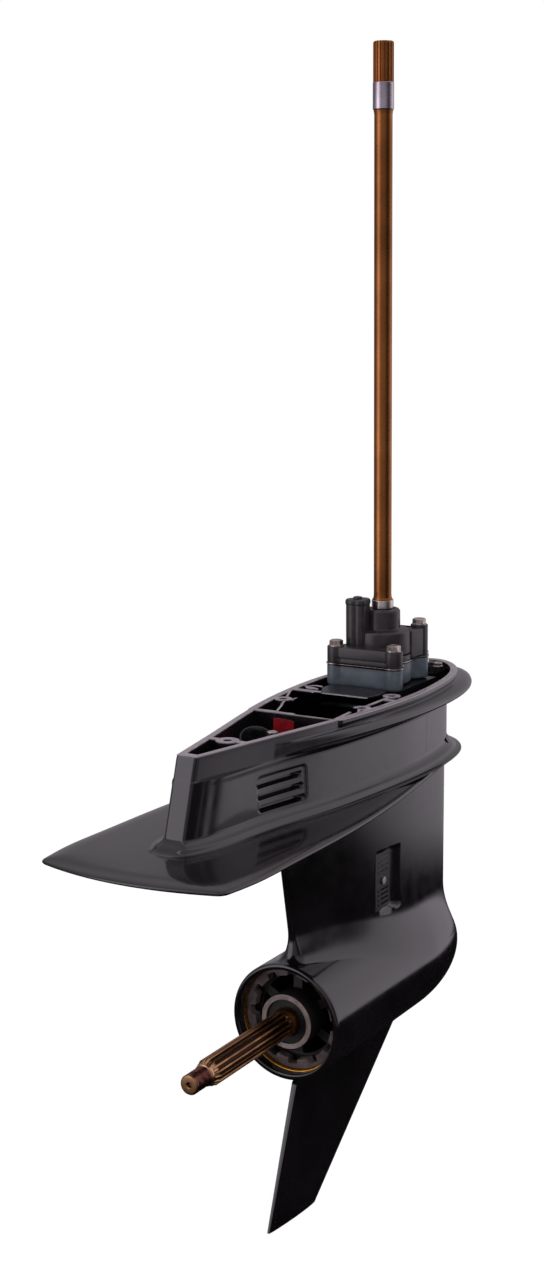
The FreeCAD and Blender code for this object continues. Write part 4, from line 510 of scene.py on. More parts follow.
def make_upper_body():
    """Rows from the rolled deck edge down the rim, round the splash lip and down the raked side to the cove.

    Each row is an outline at a height; the lip row stands off the rim by the distance to the lip's outline.
    The side slots push the surface inwards where a pill-shaped mask of height and station is one."""
    share = shares(230, dense=((0.16, 0.44, 1.4), (0.86, 1.0, 1.0)))
    rim = outline(deck_side(), share)
    lip_points = side_points(LIP_REAR, WIDEST, LIP_FRONT, SNOUT_HALF, LIP_HALF, LIP_AFT, LIP_BOW)
    lip = outline(lip_points, np.linspace(0.0, 1.0, 400))
    side = outward(rim)
    stand = reach_along(rim, side, lip)
    jog = 2.2 * smooth_step(rim[:, 1], -186.0, -183.0)
    rows = []
    for inset, z in ((4.5, 0.02), (1.6, 0.06), (0.8, -0.1), (0.25, -0.5), (0.0, -1.3)):
        rows.append(at_height(outline(deck_side(inset), share) + side * jog[:, None], z))
    for z, out in ((-4.0, 0.0), (-6.6, 0.0), (-7.8, 0.15), (-8.7, 0.7), (-9.2, 1.6)):
        ring = outline(deck_side(0.0, -z * RAKE), share)
        grow = jog * (1.0 - smooth_step(-z, 5.0, 9.0)) + np.minimum(out, stand)
        rows.append(at_height(ring + outward(ring) * grow[:, None], z))
    for part, z in ((0.25, -9.7), (0.5, -10.4), (0.72, -11.6), (0.88, -13.4), (0.965, -15.0), (1.0, -16.4),
                    (0.985, -17.6), (0.93, -18.6), (0.8, -19.4), (0.55, -20.2), (0.3, -21.2)):
        ring = outline(deck_side(0.0, -z * RAKE), share)
        rows.append(at_height(ring + outward(ring) * (stand * part)[:, None], z))
    for z, grow in ((-22.0, 2.2), (-23.0, 1.2), (-24.4, 0.4), (-26.5, 0.0)):
        ring = outline(body_side(-z * RAKE), share)
        rows.append(at_height(ring + outward(ring) * (np.minimum(grow, 0.4 + stand * 0.2))[:, None], z))
    heights = np.concatenate([np.linspace(-29.0, -33.5, 4), np.arange(-34.2, -70.6, -0.7)])
    for z in heights:
        rows.append(at_height(outline(body_side(-z * RAKE), share), z))
    for spread, z in ((0.3, -71.4), (1.2, -72.6), (2.8, -74.2), (4.6, -75.6), (6.2, -76.6), (7.4, -77.6),
                      (8.2, -78.9), (9.2, -80.2), (11.0, -81.4), (13.5, -82.0), (16.0, -82.3)):
        ring = outline(body_side(min(26.0, -z * RAKE)), share)
        rows.append(at_height(ring + outward(ring) * spread, z))
    grid = np.stack(rows)
    y, z = grid[..., 1], grid[..., 2]
    sunk = np.zeros(y.shape)
    off_middle = np.abs(grid[..., 0]) > 8.0
    slot_top, slot_pitch, slot_rear, slot_lean = -41.5, 11.5, -301.0, 1.5
    for i in range(3):
        start = slot_rear + i * slot_lean
        near = np.clip(y, start + 2.6, start + 58.0)
        gap = np.hypot(y - near, z - slot_top + i * slot_pitch)
        sunk += sizes().slot_depth / MM * (1.0 - smooth_step(gap, 1.7, 3.1)) * off_middle
    panel_y, panel_z = np.clip(y, -296.0, -238.0), np.clip(z, -62.5, -38.5)
    sunk += 0.6 * (1.0 - smooth_step(np.hypot(y - panel_y, z - panel_z), 3.0, 6.0)) * off_middle
    grid[..., 0] -= np.sign(grid[..., 0]) * sunk
    return make_piece("housing_body", [(grid, True)], FINISH["paint"], "housing",
                      ("gear_housing",), sharp=50.0, closed=False)


def plate_ring(inset, share):
    points = side_points(PLATE_REAR + inset, PLATE_WIDEST, PLATE_FRONT - inset,
                         PLATE_REAR_HALF - inset * 1.05, PLATE_HALF - inset, PLATE_AFT, PLATE_BOW)
    return outline(points, share, corner=7.0, stern_bow=17.0)


def make_plate():
    """Flat plate with sloped rims: the plan outline drawn smaller by an inset at each height."""
    share = shares(170, dense=((0.8, 1.0, 1.0),))
    rows = [spine(plate_ring(20.0, share), PLATE_TOP)]
    for inset, z in ((20.0, PLATE_TOP), (12.0, -82.6), (6.0, -83.8), (3.0, -84.7), (1.3, -85.4),
                     (0.45, -86.1), (0.05, -87.0), (0.2, -87.9), (0.8, -88.6), (2.0, -89.0),
                     (12.0, PLATE_LOW)):
        rows.append(at_height(plate_ring(inset, share), z))
    rows.append(spine(plate_ring(12.0, share), PLATE_LOW))
    return make_piece("housing_plate", [(np.stack(rows), True)], FINISH["paint"], "housing",
                      ("gear_housing",), sharp=60.0)


def torpedo_radius(y):
    """Radius of the torpedo at a station: a straight barrel, then an ellipse to the nose."""
    s = np.clip((y - NOSE_FROM) / NOSE_REACH, 0.0, 1.0)
    return BARREL * np.sqrt(np.maximum(1.0 - s * s, 0.0))


def make_strut():
    """Strut rings between two end outlines, with quarter-round fillets at the plate and at the torpedo.

    The last rows follow the torpedo's round; the inlet scoop replaces the width by a floor that ramps out."""
    share = shares(250, dense=((0.3, 0.62, 1.6), (0.88, 1.0, 0.6)))
    high = outline(side_points(*STRUT_HIGH, STRUT_AFT, STRUT_BOW), share, corner=2.0)
    low = outline(side_points(*STRUT_LOW, STRUT_AFT, STRUT_BOW), share, corner=2.0)

    def ring_at(z):
        part = ((PLATE_TOP - z) / (PLATE_TOP - AXIS))[:, None]
        return high + (low - high) * part

    rows = []
    under_plate = 16.0
    for s in np.linspace(0.0, 1.0, 9):
        lean = math.pi / 2 * s
        z = np.full(len(high), PLATE_LOW + 0.3 - under_plate * (1.0 - math.cos(lean)))
        ring = ring_at(z)
        rows.append(np.column_stack([ring + outward(ring) * under_plate * (1.0 - math.sin(lean)), z]))
    foot_rows = []
    fillet = sizes().foot_fillet / MM
    for s in np.linspace(0.0, 1.0, 12):
        lean = math.pi / 2 * s
        out, rise = 0.5 * fillet * (1.0 - math.cos(lean)), fillet * (1.0 - math.sin(lean))
        z = np.full(len(high), -255.0)
        for _ in range(4):
            ring = ring_at(z)
            ring = ring + outward(ring) * out
            room = torpedo_radius(ring[:, 1])
            z = AXIS + np.sqrt(np.maximum(room**2 - np.minimum(np.abs(ring[:, 0]), room) ** 2,
                                          0.0)) + rise - 0.12 * s**3
        foot_rows.append(np.column_stack([ring, z]))
    top, foot = rows[-1], foot_rows[0]
    for s in shares(86, dense=((0.32, 0.9, 0.8),))[1:-1]:
        z = top[:, 2] + (foot[:, 2] - top[:, 2]) * s
        rows.append(np.column_stack([ring_at(z), z]))
    grid = np.stack(rows + foot_rows)
    x, y, z = np.abs(grid[..., 0]), grid[..., 1], grid[..., 2]
    tall = smooth_step(z, SCOOP_LOW, SCOOP_LOW + 3.0) * (1.0 - smooth_step(z, SCOOP_HIGH - 3.0, SCOOP_HIGH))
    tail = 4.0 * smooth_step(z, -205.0, -232.0)
    floor = SCOOP_FLOOR + SCOOP_RISE * smooth_step(y, -52.0, -33.0 + tail)
    wide = smooth_step(y, SCOOP_REAR, -82.0) * (1.0 - smooth_step(y, SCOOP_FRONT - 3.0, SCOOP_FRONT))
    mask = tall * wide * (floor < x)
    grid[..., 0] = np.sign(grid[..., 0]) * (x + (np.minimum(floor, x) - x) * mask)
    return make_piece("housing_strut", [(grid, True)], FINISH["paint"], "housing",
                      ("gear_housing",), sharp=48.0, closed=False)


def make_torpedo():
    """Bullet turned about the propeller line, with a rolled rim and the bore inside it."""
    angle = np.linspace(0.0, math.pi / 2, 40)
    nose = np.column_stack([BARREL * np.cos(angle), NOSE_FROM + NOSE_REACH * np.sin(angle)])
    nose[-1, 0] = 0.0
    rim = np.concatenate([
        np.array([(50.2, -150.0), (50.2, -181.0), (54.05, -181.2), (54.05, -204.6)]),
        arc_profile((54.05, -205.6), (55.6, -207.4), (54.15, -207.3)),
        arc_profile((57.2, -207.5), (BARREL, -204.0), (60.3, -207.4), 8),
        np.column_stack([np.full(14, BARREL), np.linspace(-200.0, 0.0, 14)])])
    grid = turned(np.concatenate([rim, nose])[::-1], "y", 176, (0, 0, AXIS))
    return make_piece("housing_torpedo", [(grid, True)], FINISH["paint"], "housing",
                      ("gear_housing",), sharp=50.0, closed=False)


def make_skeg():
    """Blade between a root and a tip section, both the same fraction of their chord and thickness.

    The top rows flare out onto the torpedo on a quarter round; the tip row drops towards its front edge."""
    flank = np.array([(0.2, 0.0), (0.3, 0.05), (0.4, 0.16), (0.47, 0.32), (0.5, 0.52), (0.46, 0.7),
                      (0.36, 0.85), (0.2, 0.955), (0.08, 0.99), (0.0, 1.0)])
    s = shares(70)
    share = np.linspace(0.0, 1.0, len(flank))
    half, chord = np.interp(s, share, flank[:, 0]), np.interp(s, share, flank[:, 1])
    half, chord = np.concatenate([[0.0, 0.12, 0.17], half]), np.concatenate([[0.0, 0.0, 0.001], chord])
    half = np.concatenate([half, -half[1:-1][::-1]])
    chord = np.concatenate([chord, chord[1:-1][::-1]])
    root_z, tip_z = -363.5, -519.0
    root_rear, rear_sweep, root_front, front_sweep, root_thick, taper = -183.0, 60.0, 60.0, 209.0, 15.0, 9.0

    def ring_at(part):
        rear, front = root_rear - rear_sweep * part, root_front - front_sweep * part
        thick = root_thick - taper * part
        return np.column_stack([half * thick, rear + chord * (front - rear)])

    rows = []
    fillet = 7.0
    for turn in np.linspace(math.pi / 2, 0.0, 8):
        out, drop = fillet * (1.0 - math.cos(turn)), fillet * (1.0 - math.sin(turn))
        ring = ring_at(np.zeros(len(half)))
        ring = ring + outward(ring) * out
        room = torpedo_radius(ring[:, 1])
        z = AXIS - np.sqrt(np.maximum(room**2 - ring[:, 0] ** 2, 0.0)) - drop + 0.2
        rows.append(np.column_stack([ring, z]))
    start = rows[-1][:, 2]
    for part in np.linspace(0.02, 1.0, 30):
        share_of = (root_z - (start + (tip_z - start) * part)) / (root_z - tip_z)
        ring = ring_at(share_of)
        z = start + (tip_z - start) * part - 6.5 * chord * part
        rows.append(np.column_stack([ring, z]))
    last = rows[-1]
    for inset in (0.5, 1.3):
        rows.append(np.column_stack([last[:, :2] - outward(last[:, :2]) * inset, last[:, 2]]))
    rows.append(np.column_stack([last[:, 0] * 0.0, last[:, 1], last[:, 2]]))
    return make_piece("housing_skeg", [(np.stack(rows), True)], FINISH["paint"], "housing",
                      ("gear_housing",), sharp=50.0, closed=False)


def rib(start, end, wide=3.4, low=-30.0, high=0.05):
    """Straight upright rib between two plan points, as a softened slab."""
    start, end = np.array(start, float), np.array(end, float)
    along = (end - start) / np.linalg.norm(end - start)
    across = np.array([along[1], -along[0]]) * wide / 2
    corners = [start + across, end + across, end - across, start - across]
    return slab(rounded(corners, 0.5, 3), low, high, 0.7), True


def make_deck():
    """Deck face, bosses and chamber walls are the solid's own faces inside the rim; thin ribs are slabs."""
    corners, triangles = node_mesh("gear_housing")
    edge = spline(deck_side(3.0), np.linspace(0.0, 1.0, 400))
    order = np.argsort(edge[:, 1])
    half = np.interp(corners[:, 1], edge[order, 1], edge[order, 0], left=-1.0, right=-1.0)
    inside = (np.abs(corners[:, 0]) < half) & (corners[:, 2] > -86.0)
    top = np.abs(corners[:, 2]) < 0.01
    keep = (inside | top)[triangles].all(axis=1)
    middle = corners[triangles].mean(axis=1)
    chosen = triangles[keep & (middle[:, 2] > -80.0)]
    used, index = np.unique(chosen, return_inverse=True)
    extra = (corners[used], index.reshape(-1, 3))
    ribs = [rib(*ends) for ends in (((-21.0, -182.0), (-33.0, -150.0)), ((-33.0, -152.0), (-38.0, -138.0)),
                                    ((-35.0, -129.0), (-33.0, -87.0)), ((-57.0, -64.0), (-36.0, -73.0)),
                                    ((-58.0, -92.0), (-46.0, -120.0)), ((45.0, -186.0), (42.0, -138.0)),
                                    ((44.0, -120.0), (45.0, -76.0)), ((52.0, -150.0), (44.0, -134.0)))]
    return make_piece("housing_deck", ribs, FINISH["deck"], "housing", ("gear_housing",),
                      sharp=30.0, closed=False, extra=extra)


# Shafts


def groove_wave(count, depth, low, high, run, fill=0.5, steep=6.0):
    """Wave that cuts count grooves of a depth between two stations, with run-outs at both ends."""

    def wave(angle, along, radius):
        swing = np.cos(angle * count)
        cut = 1.0 / (1.0 + np.exp(steep * (swing + (0.5 - fill) * 2.0)))
        cut = (cut - cut.min()) / (cut.max() - cut.min())
        mask = smooth_step(along, low - run, low) * (1.0 - smooth_step(along, high, high + run))
        return radius - depth * cut * mask

    return wave


def make_driveshaft():
    """Turned shaft: radius as a function of height, less a wave of seventeen grooves at the top."""
    profile = soft_profile([(0.0, -284.2), (7.0, -284.2), (7.0, -277.2), (8.5, -275.2), (8.5, -254.2),
                            (11.0, -254.2), (11.0, -228.2), (9.5, -226.2), (9.5, -63.0), (15.0, -63.0),
                            (15.0, -60.1), (12.5, -60.1), (12.5, -39.0), (9.2, -37.0), (9.2, 75.0),
                            (10.6, 77.0), (10.6, 86.4), (9.5, 88.0), (9.2, 92.0), (9.2, 300.0), (9.2, 575.6),
                            (9.6, 578.0), (9.9, 579.6)], 0.8)
    lower = turned(profile, "z", 96)
    band = turned(soft_profile([(9.6, 579.2), (10.66, 580.6), (10.66, 606.2), (9.4, 606.9)], 0.5), "z", 96)
    wave = groove_wave(SHAFT_TEETH, 1.3, 606.0, 650.0, 1.5, 0.46)
    z = np.concatenate([np.linspace(605.8, 608.0, 8), np.linspace(609.0, 643.4, 30)])
    top = np.column_stack([np.full(len(z), 10.4), z])
    top = np.concatenate([[(9.0, 605.6)], top, arc_profile((10.3, 644.2), (8.9, 645.8), (10.1, 645.6), 6),
                          [(6.0, 645.8), (3.4, 645.8), (2.6, 644.4), (0.0, 643.6)]])
    spline_grid = turned(top, "z", SHAFT_TEETH * 12, wave=wave)
    make_piece("driveshaft_body", [(lower, True)], FINISH["bronze"], "driveline",
               ("driveshaft",), sharp=40.0)
    make_piece("driveshaft_band", [(band, True)], FINISH["ground_bearing_band_steel"], "driveline",
               ("driveshaft",), sharp=40.0, closed=False)
    make_piece("driveshaft_spline", [(spline_grid, True)], FINISH["bronze"], "driveline",
               ("driveshaft",), sharp=32.0)


def make_prop_shaft():
    """Inner part from the solid; outside it a turned radius less fifteen wide grooves, then a fine thread."""
    corners, triangles = node_mesh("prop_shaft")
    inner = (corners[:, 1] > -207.2)[triangles].all(axis=1)
    used, index = np.unique(triangles[inner], return_inverse=True)
    make_piece("prop_shaft_inner", [], FINISH["gold_brown_machined_spline"], "propeller_shaft",
               ("prop_shaft",), closed=False, extra=(corners[used], index.reshape(-1, 3)))
    cut = groove_wave(PROP_TEETH, sizes().spline_depth / MM, -400.0, -219.0, 5.0, 0.56, 9.0)

    def wave(angle, along, radius):
        ground = cut(angle, along, np.full(radius.shape, SPLINE_RADIUS))
        return np.minimum(radius, ground + np.maximum(radius - SPLINE_RADIUS, 0.0))

    y = np.concatenate([np.linspace(-215.0, -232.0, 22), np.linspace(-236.0, -338.0, 34),
                        np.linspace(-340.0, -345.6, 8)])
    splined = np.column_stack([np.full(len(y), SPLINE_RADIUS), y])
    nose = soft_profile([(SPLINE_RADIUS, -345.6), (10.75, -352.6), (10.75, -354.6), (9.5, -355.6)], 0.4)
    body = np.concatenate([soft_profile([(15.0, -205.0), (15.0, -207.2), (SPLINE_RADIUS, -213.0),
                                         (SPLINE_RADIUS, -214.4)], 0.8), splined, nose])
    make_piece("prop_shaft_spline", [(turned(body, "y", PROP_TEETH * 14, (0, 0, AXIS), wave), True)],
               FINISH["gold_brown_machined_spline"], "propeller_shaft", ("prop_shaft",),
               sharp=32.0, closed=False)

    def thread(angle, along, radius):
        turn = (along / THREAD_PITCH + angle / math.tau) % 1.0
        ridge = 0.45 * np.abs(turn * 2.0 - 1.0) * smooth_step(along, -378.6, -376.4) * (radius > 9.0)
        ridge *= 1.0 - smooth_step(along, -357.6, -356.4)
        side = radius * np.sin(angle)
        gap = np.hypot(along - COTTER_AT, side)
        pit = 7.0 * (1.0 - smooth_step(gap, 2.3, 2.9)) * (radius > 9.0)
        return radius - ridge - pit

    y = np.arange(-355.8, -378.9, -0.26)
    rows = np.column_stack([np.full(len(y), 9.75), y])
    end = np.array([(9.2, -379.6), (8.3, -380.15), (8.0, -380.2), (3.4, -380.2), (2.4, -379.2),
                    (2.3, -376.0), (0.0, -374.6)])
    make_piece("prop_shaft_thread", [(turned(np.concatenate([[(9.2, -355.4)], rows, end]), "y", 180,
                                             (0, 0, AXIS), thread), True)], FINISH["red_brown_cut_thread"],
               "propeller_shaft", ("prop_shaft",), sharp=40.0)


# Bearing carrier end


def make_carrier_end():
    """Ring nut whose inner radius steps out at each notch, and the worn gold line on the bore outside it."""

    def notches(angle, along, radius):
        turn = (angle * NUT_NOTCHES / math.tau + 0.5) % 1.0 - 0.5
        wide = np.abs(turn) * math.tau / NUT_NOTCHES * 46.0
        cut = 1.0 - smooth_step(wide, 4.6, 5.3)
        return radius + np.clip(49.0 - radius, 0.0, None) * cut * (radius < 47.0)

    ring = soft_profile([(53.4, -182.6), (53.4, -192.4), (43.6, -192.6), (43.6, -182.6), (53.4, -182.6)], 0.8)
    make_piece("ring_nut", [(turned(ring, "y", NUT_NOTCHES * 30, (0, 0, AXIS), notches), True)],
               FINISH["primer"], "housing", ("retaining_nut",), sharp=35.0)
    gold = np.array([(54.0, -192.0), (54.0, -197.4), (53.5, -197.2), (53.3, -196.0), (53.4, -192.0),
                     (54.0, -192.0)])
    make_piece("gold_line", [(turned(gold, "y", 160, (0, 0, AXIS)), True)], FINISH["gold_chromate_plate"],
               "housing", ())


# Water pump


def pump_ring(grow=0.0):
    """Plan outline seen from the shaft: at each angle, the furthest of drum, four bolt lobes and two blocks.

    The distances are then averaged over a few neighbours, which rounds the creases between the shapes."""
    angle = np.linspace(-math.pi / 2, 1.5 * math.pi, 360, endpoint=False)
    way = np.stack([np.cos(angle), np.sin(angle)], axis=1)
    far = np.full(len(angle), 20.0)
    lobes = [(side * x, y, radius) for (x, y), radius in ((REAR_BOLT, 9.7),
                                                          (FRONT_BOLT, 9.6)) for side in (1, -1)]
    for x, y, radius in [(0.0, 0.0, 30.2)] + lobes:
        along = way @ (x, y)
        inside = along**2 - (x * x + y * y - radius**2)
        far = np.maximum(far, np.where(inside > 0, along + np.sqrt(np.maximum(inside, 0.0)), 0.0))
    for half, rear, front in ((36.0, -46.6, -20.0), (25.0, 0.0, 42.0)):
        steps = np.linspace(0.0, 70.0, 701)
        x, y = steps[None] * way[:, :1], steps[None] * way[:, 1:]
        hit = (np.abs(x) < half) & (y > rear) & (y < front)
        far = np.maximum(far, np.max(np.where(hit, steps, 0.0), axis=1))
    smooth = sum(np.roll(far, k) for k in range(-2, 3)) / 5.0
    ring = way * smooth[:, None]
    return ring + outward(ring) * grow


def hex_bolt(x, y, seat, across=None, tall=5.2, washer=15.8):
    """Flange washer and hexagon head with a chamfered crown, as turned grids with six-sided radius."""
    across = across or sizes().bolt_across / MM

    def six(angle, along, radius):
        flat = (angle + math.pi / 6) % (math.pi / 3) - math.pi / 6
        side = across / 2 / np.cos(flat)
        return np.where(radius > 4.5, np.minimum(radius, side), radius)

    head = soft_profile([(0.0, seat + 1.0), (across * 0.6, seat + 1.0),
                         (across * 0.6, seat + tall * 0.82 + 1.2), (across * 0.44, seat + tall + 1.2),
                         (across * 0.3, seat + tall + 1.2), (across * 0.27, seat + tall + 0.9),
                         (0.0, seat + tall + 0.9)], 0.5)
    plate = soft_profile([(0.0, seat), (washer / 2, seat), (washer / 2, seat + 1.0),
                          (across * 0.5, seat + 1.5), (0.0, seat + 1.5)], 0.3)
    return [(turned(head, "z", 60, (x, y, 0), six), True), (turned(plate, "z", 48, (x, y, 0)), True)]


def round_post(x, y, radius, low, high, crown=1.5, count=72):
    return turned(soft_profile([(0.0, low), (radius, low), (radius, high - 0.01), (0.0, high)], crown), "z",
                  count, (x, y, 0))


def make_pump():
    """Stack of softened slabs on one outline, a drum, a hub, four bolt posts and a two-lobed tower."""
    plastic = FINISH["moulded_pump_plastic"]
    base_low, base_top, gasket_top, wear_top = -1.9, 20.9, 21.85, 23.1
    make_piece("pump_base_skin", [(slab(pump_ring(), base_low, base_top, 0.8, 4.5), True)], FINISH["base"],
               "housing", ("pump_base",), sharp=50.0)
    make_piece("pump_gasket_skin", [(slab(pump_ring(-0.4), base_top, gasket_top, 0.2), True)],
               FINISH["moulded_black_rubber"], "housing", ("pump_gasket",), sharp=60.0)
    make_piece("pump_plate_skin", [(slab(pump_ring(0.9), gasket_top, wear_top, 0.25), True)],
               FINISH["rolled_stainless"], "housing", ("pump_plate",), sharp=60.0)
    drum = soft_profile([(0.0, 30.0), (29.6, 30.0), (29.2, 53.0), (27.6, 54.6), (18.6, 55.6), (18.4, 74.4),
                         (16.6, 76.4), (13.0, 76.5), (12.6, 75.2), (9.6, 75.2), (9.6, 68.0)], 1.2)
    grids = [(turned(drum, "z", 120), True)]
    # Low collar round the drum, on the outline of the stack, and the thick rear block on top of it
    grids.append((slab(pump_ring(-0.3), wear_top, 29.0, 1.0, 0.5), True))
    block = rounded([(-36.0, -46.2), (36.0, -46.2), (38.0, -30.0), (26.0, -20.0), (-26.0, -20.0),
                     (-38.0, -30.0)], 3.0)
    grids.append((slab(np.roll(block, -3, axis=0), 27.0, 40.0, 1.4), True))
    for side in (-1, 1):
        grids.append((round_post(side * FRONT_BOLT[0], FRONT_BOLT[1], 9.2, 24.0, 56.0, 1.2), True))
        grids.append((round_post(side * REAR_BOLT[0], REAR_BOLT[1], 9.4, 24.0, 40.2, 1.0), True))
        web = np.array([(13.0, 12.0), (29.5, 8.0), (33.0, 33.0), (18.0, 36.0)])
        web = web if side > 0 else (web * (-1.0, 1.0))[::-1]
        grids.append((slab(rounded(web, 2.0), 24.0, 53.4, 1.6), True))
    for x, y, radius, high in ((-20.8, -23.0, 8.9, 84.0), (-12.2, -26.6, 6.4, 83.0),
                               (-16.0, -17.0, 9.0, 83.0)):
        grids.append((round_post(x, y, radius, 30.0, high, 1.2, 64), True))
    make_piece("pump_housing_skin", grids, plastic, "housing", ("pump_housing",), sharp=42.0)
    cap = []
    for x, y, radius in ((-20.8, -23.0, 9.6), (-12.2, -26.6, 7.1), (-16.0, -17.0, 9.6)):
        cap.append((turned(soft_profile([(0.0, 82.6), (radius, 82.6), (radius, 86.0), (radius - 0.8, 87.8),
                                         (0.0, 88.6)], 0.9), "z", 64, (x, y, 0)), True))
    cap.append((round_post(-17.6, -22.0, 4.8, 87.0, 90.6, 1.8, 40), True))
    make_piece("outlet_cap_skin", cap, plastic, "housing", ("outlet_cap",), sharp=42.0)
    bolts = []
    for (x, y), seat in ((REAR_BOLT, REAR_SEAT), (FRONT_BOLT, FRONT_SEAT)):
        for side in (1, -1):
            bolts += hex_bolt(side * x, y, seat)
    make_piece("pump_bolt_heads", bolts, FINISH["worn_bright_fastener_steel"], "housing",
               ("pump_bolts",), sharp=35.0)
    collar = soft_profile([(9.25, 76.6), (11.4, 76.6), (11.4, 85.6), (9.25, 85.6), (9.25, 76.6)], 0.6)
    make_piece("collar_skin", [(turned(collar, "z", 96), True)], FINISH["turned_stainless"], "driveline",
               ("shaft_collar",), sharp=40.0)


# Deck fittings and inlets


def make_fittings():
    """Bolt, twisted tag and curved duct in the rear chamber, guide block with its light face, and screws.

    The duct is a circle carried along a curve; the tag's rows turn from the foot's line to the head's."""
    make_piece("chamber_bolt_head", hex_bolt(*CHAMBER_BOLT, -7.6, 9.5, 5.0,
                                             12.5) + [(round_post(*CHAMBER_BOLT, 3.4, -74.0, -7.0, 0.3, 24),
                                                       True)], FINISH["worn_bright_fastener_steel"],
               "housing", ("chamber_bolt",), sharp=35.0)
    heads = []
    for side in (-1, 1):
        heads += hex_bolt(side * 15.5, 100.0, -2.2, 9.0, 3.4, 12.0)
    make_piece("bushing_screw_heads", heads, FINISH["worn_bright_fastener_steel"], "housing",
               ("shift_bushing_screws",), sharp=35.0)

    u, v = np.meshgrid(np.linspace(0.0, 1.0, 16), np.linspace(0.0, 1.0, 30))
    turn = smooth_step(v, 0.25, 0.72)
    foot = np.stack([8.5 + 0.0 * u, -232.0 + 32.0 * u], axis=-1)
    head = np.stack([-12.4 + 22.6 * u, -203.0 + 2.2 * np.sin(u * math.pi)], axis=-1)
    plan = foot * (1.0 - turn[..., None]) + head * turn[..., None]
    sheet = np.concatenate([plan, (-73.6 + 72.2 * v - 1.2 * u * v)[..., None]], axis=-1)
    along = np.gradient(sheet, axis=1)
    normal = np.stack([-along[..., 1], along[..., 0], along[..., 0] * 0.0], axis=-1)
    normal /= np.linalg.norm(normal, axis=-1, keepdims=True)
    both = np.concatenate([sheet + normal * 0.3, (sheet - normal * 0.3)[:, ::-1]], axis=1)
    both = np.concatenate([both[:1] * 0.5 + both[:1, ::-1] * 0.5, both,
                           both[-1:] * 0.5 + both[-1:, ::-1] * 0.5])
    make_piece("red_tag_sheet", [(both, True)], FINISH["thin_red_plastic"], "housing",
               ("red_tag",), sharp=60.0)

    t = np.linspace(0.0, 1.0, 44)
    lean = smooth_step(t, 0.35, 1.0)
    centre = np.column_stack([-14.0 + 12.0 * lean, -236.0 - 16.0 * lean, -73.0 + 63.5 * t])
    way = np.gradient(centre, axis=0)
    way[-12:] += np.outer(smooth_step(np.linspace(0.0, 1.0, 12), 0.0, 1.0), (0.55, -0.65, 0.0))
    way /= np.linalg.norm(way, axis=1)[:, None]
    side = np.cross((0.0, 1.0, 0.0), way)
    side /= np.linalg.norm(side, axis=1)[:, None]
    lift = np.cross(way, side)
    angle = np.linspace(0.0, math.tau, 64, endpoint=False)
    circle = np.cos(angle)[None, :, None] * side[:, None] + np.sin(angle)[None, :, None] * lift[:, None]
    radius = (11.6 - 1.8 * smooth_step(t, 0.2, 0.6) + 6.0 * smooth_step(t, 0.66, 1.0))[:, None, None]
    tube = centre[:, None] + radius * circle
    inner = (centre[:, None] + (radius - 1.4) * circle)[::-1]
    make_piece("chamber_duct", [(np.concatenate([tube, inner, tube[:1]]), True)], FINISH["glossy_black_duct"],
               "housing", ("chamber_tube",), sharp=50.0)

    guide = rounded([(-24.0, -89.4), (29.0, -89.4), (33.0, -76.0), (33.0, -53.0), (-33.0, -53.0),
                     (-33.0, -70.0)], 2.0)
    make_piece("guide_block_skin", [(slab(np.roll(guide, -3, axis=0), -2.0, 1.6, 0.9), True),
                                    (slab(rounded([(-26.5, -79.8), (26.5, -79.8), (26.5, -54.3),
                                                   (-26.5, -54.3)], 1.5), -34.0, -1.0, 0.5), True)],
               FINISH["moulded_guide_plastic"], "housing", ("water_tube_guide",), sharp=50.0)
    face = rounded([(-23.0, -91.0), (29.5, -91.0), (29.5, -87.7), (-23.0, -87.7)], 0.8)
    make_piece("seal_face", [(slab(face, -12.2, 0.9, 0.7), True)], FINISH["light_rubber_faced_plastic"],
               "housing", ("exhaust_seal_plate",), sharp=50.0)


SLOT_FINISH = {"housing_paint": "paint", "dark_anodised": "primer", "base_paint": "base",
               "pump_plastic": "moulded_pump_plastic", "guide_plastic": "moulded_guide_plastic",
               "seal_grey": "light_rubber_faced_plastic", "black_rubber": "moulded_black_rubber",
               "stainless": "turned_stainless", "bright_fastener": "worn_bright_fastener_steel",
               "bronze_shaft": "bronze", "prop_shaft_steel": "gold_brown_machined_spline",
               "gear_steel": "hardened_gear_steel", "bearing_steel": "ground_bearing_steel",
               "chromate": "gold_chromate_plate", "red_plastic": "thin_red_plastic"}
NODE_FINISH = {"bearing_carrier": "hub", "nut_lock_washer": "dark_oxide_washer",
               "prop_shaft_seals": "moulded_black_rubber"}
EDGE_MM = {"bearing_carrier": 0.6, "shift_bushing": 0.6, "inlet_screws": 0.3, "gear_oil_plugs": 0.5,
           "inlet_grilles": 0.35, "shift_shaft": 0.4}


def carry_over():
    """Every solid gets the finish of its slot; a few also get a weld and a fine bevel as modifiers."""
    for part in frame["record"]["subparts"]:
        node = part["node"]
        thing = NODES[node]
        thing.data.materials.clear()
        thing.data.materials.append(FINISH[NODE_FINISH.get(node, SLOT_FINISH[part["material_slot"]])])
        if node in EDGE_MM:
            weld = thing.modifiers.new("Weld", "WELD")
            weld.merge_threshold = 1e-5
            edge = thing.modifiers.new("Edges", "BEVEL")
            edge.width, edge.segments, edge.limit_method = EDGE_MM[node] * MM, 2, "ANGLE"
            edge.angle_limit = math.radians(40)


# Stage


def link_all(tree, pairs):
    for source, target in pairs:
        tree.links.new(source, target)


def math_node(tree, operation, *values):
    """Math node whose inputs are sockets or numbers; gives its output."""
    node = add_node(tree, "Math", {"operation": operation})
    for socket, value in zip(node.inputs, values):
        if isinstance(value, (int, float)):
            socket.default_value = value
        else:
            tree.links.new(value, socket)
    return node.outputs[0]


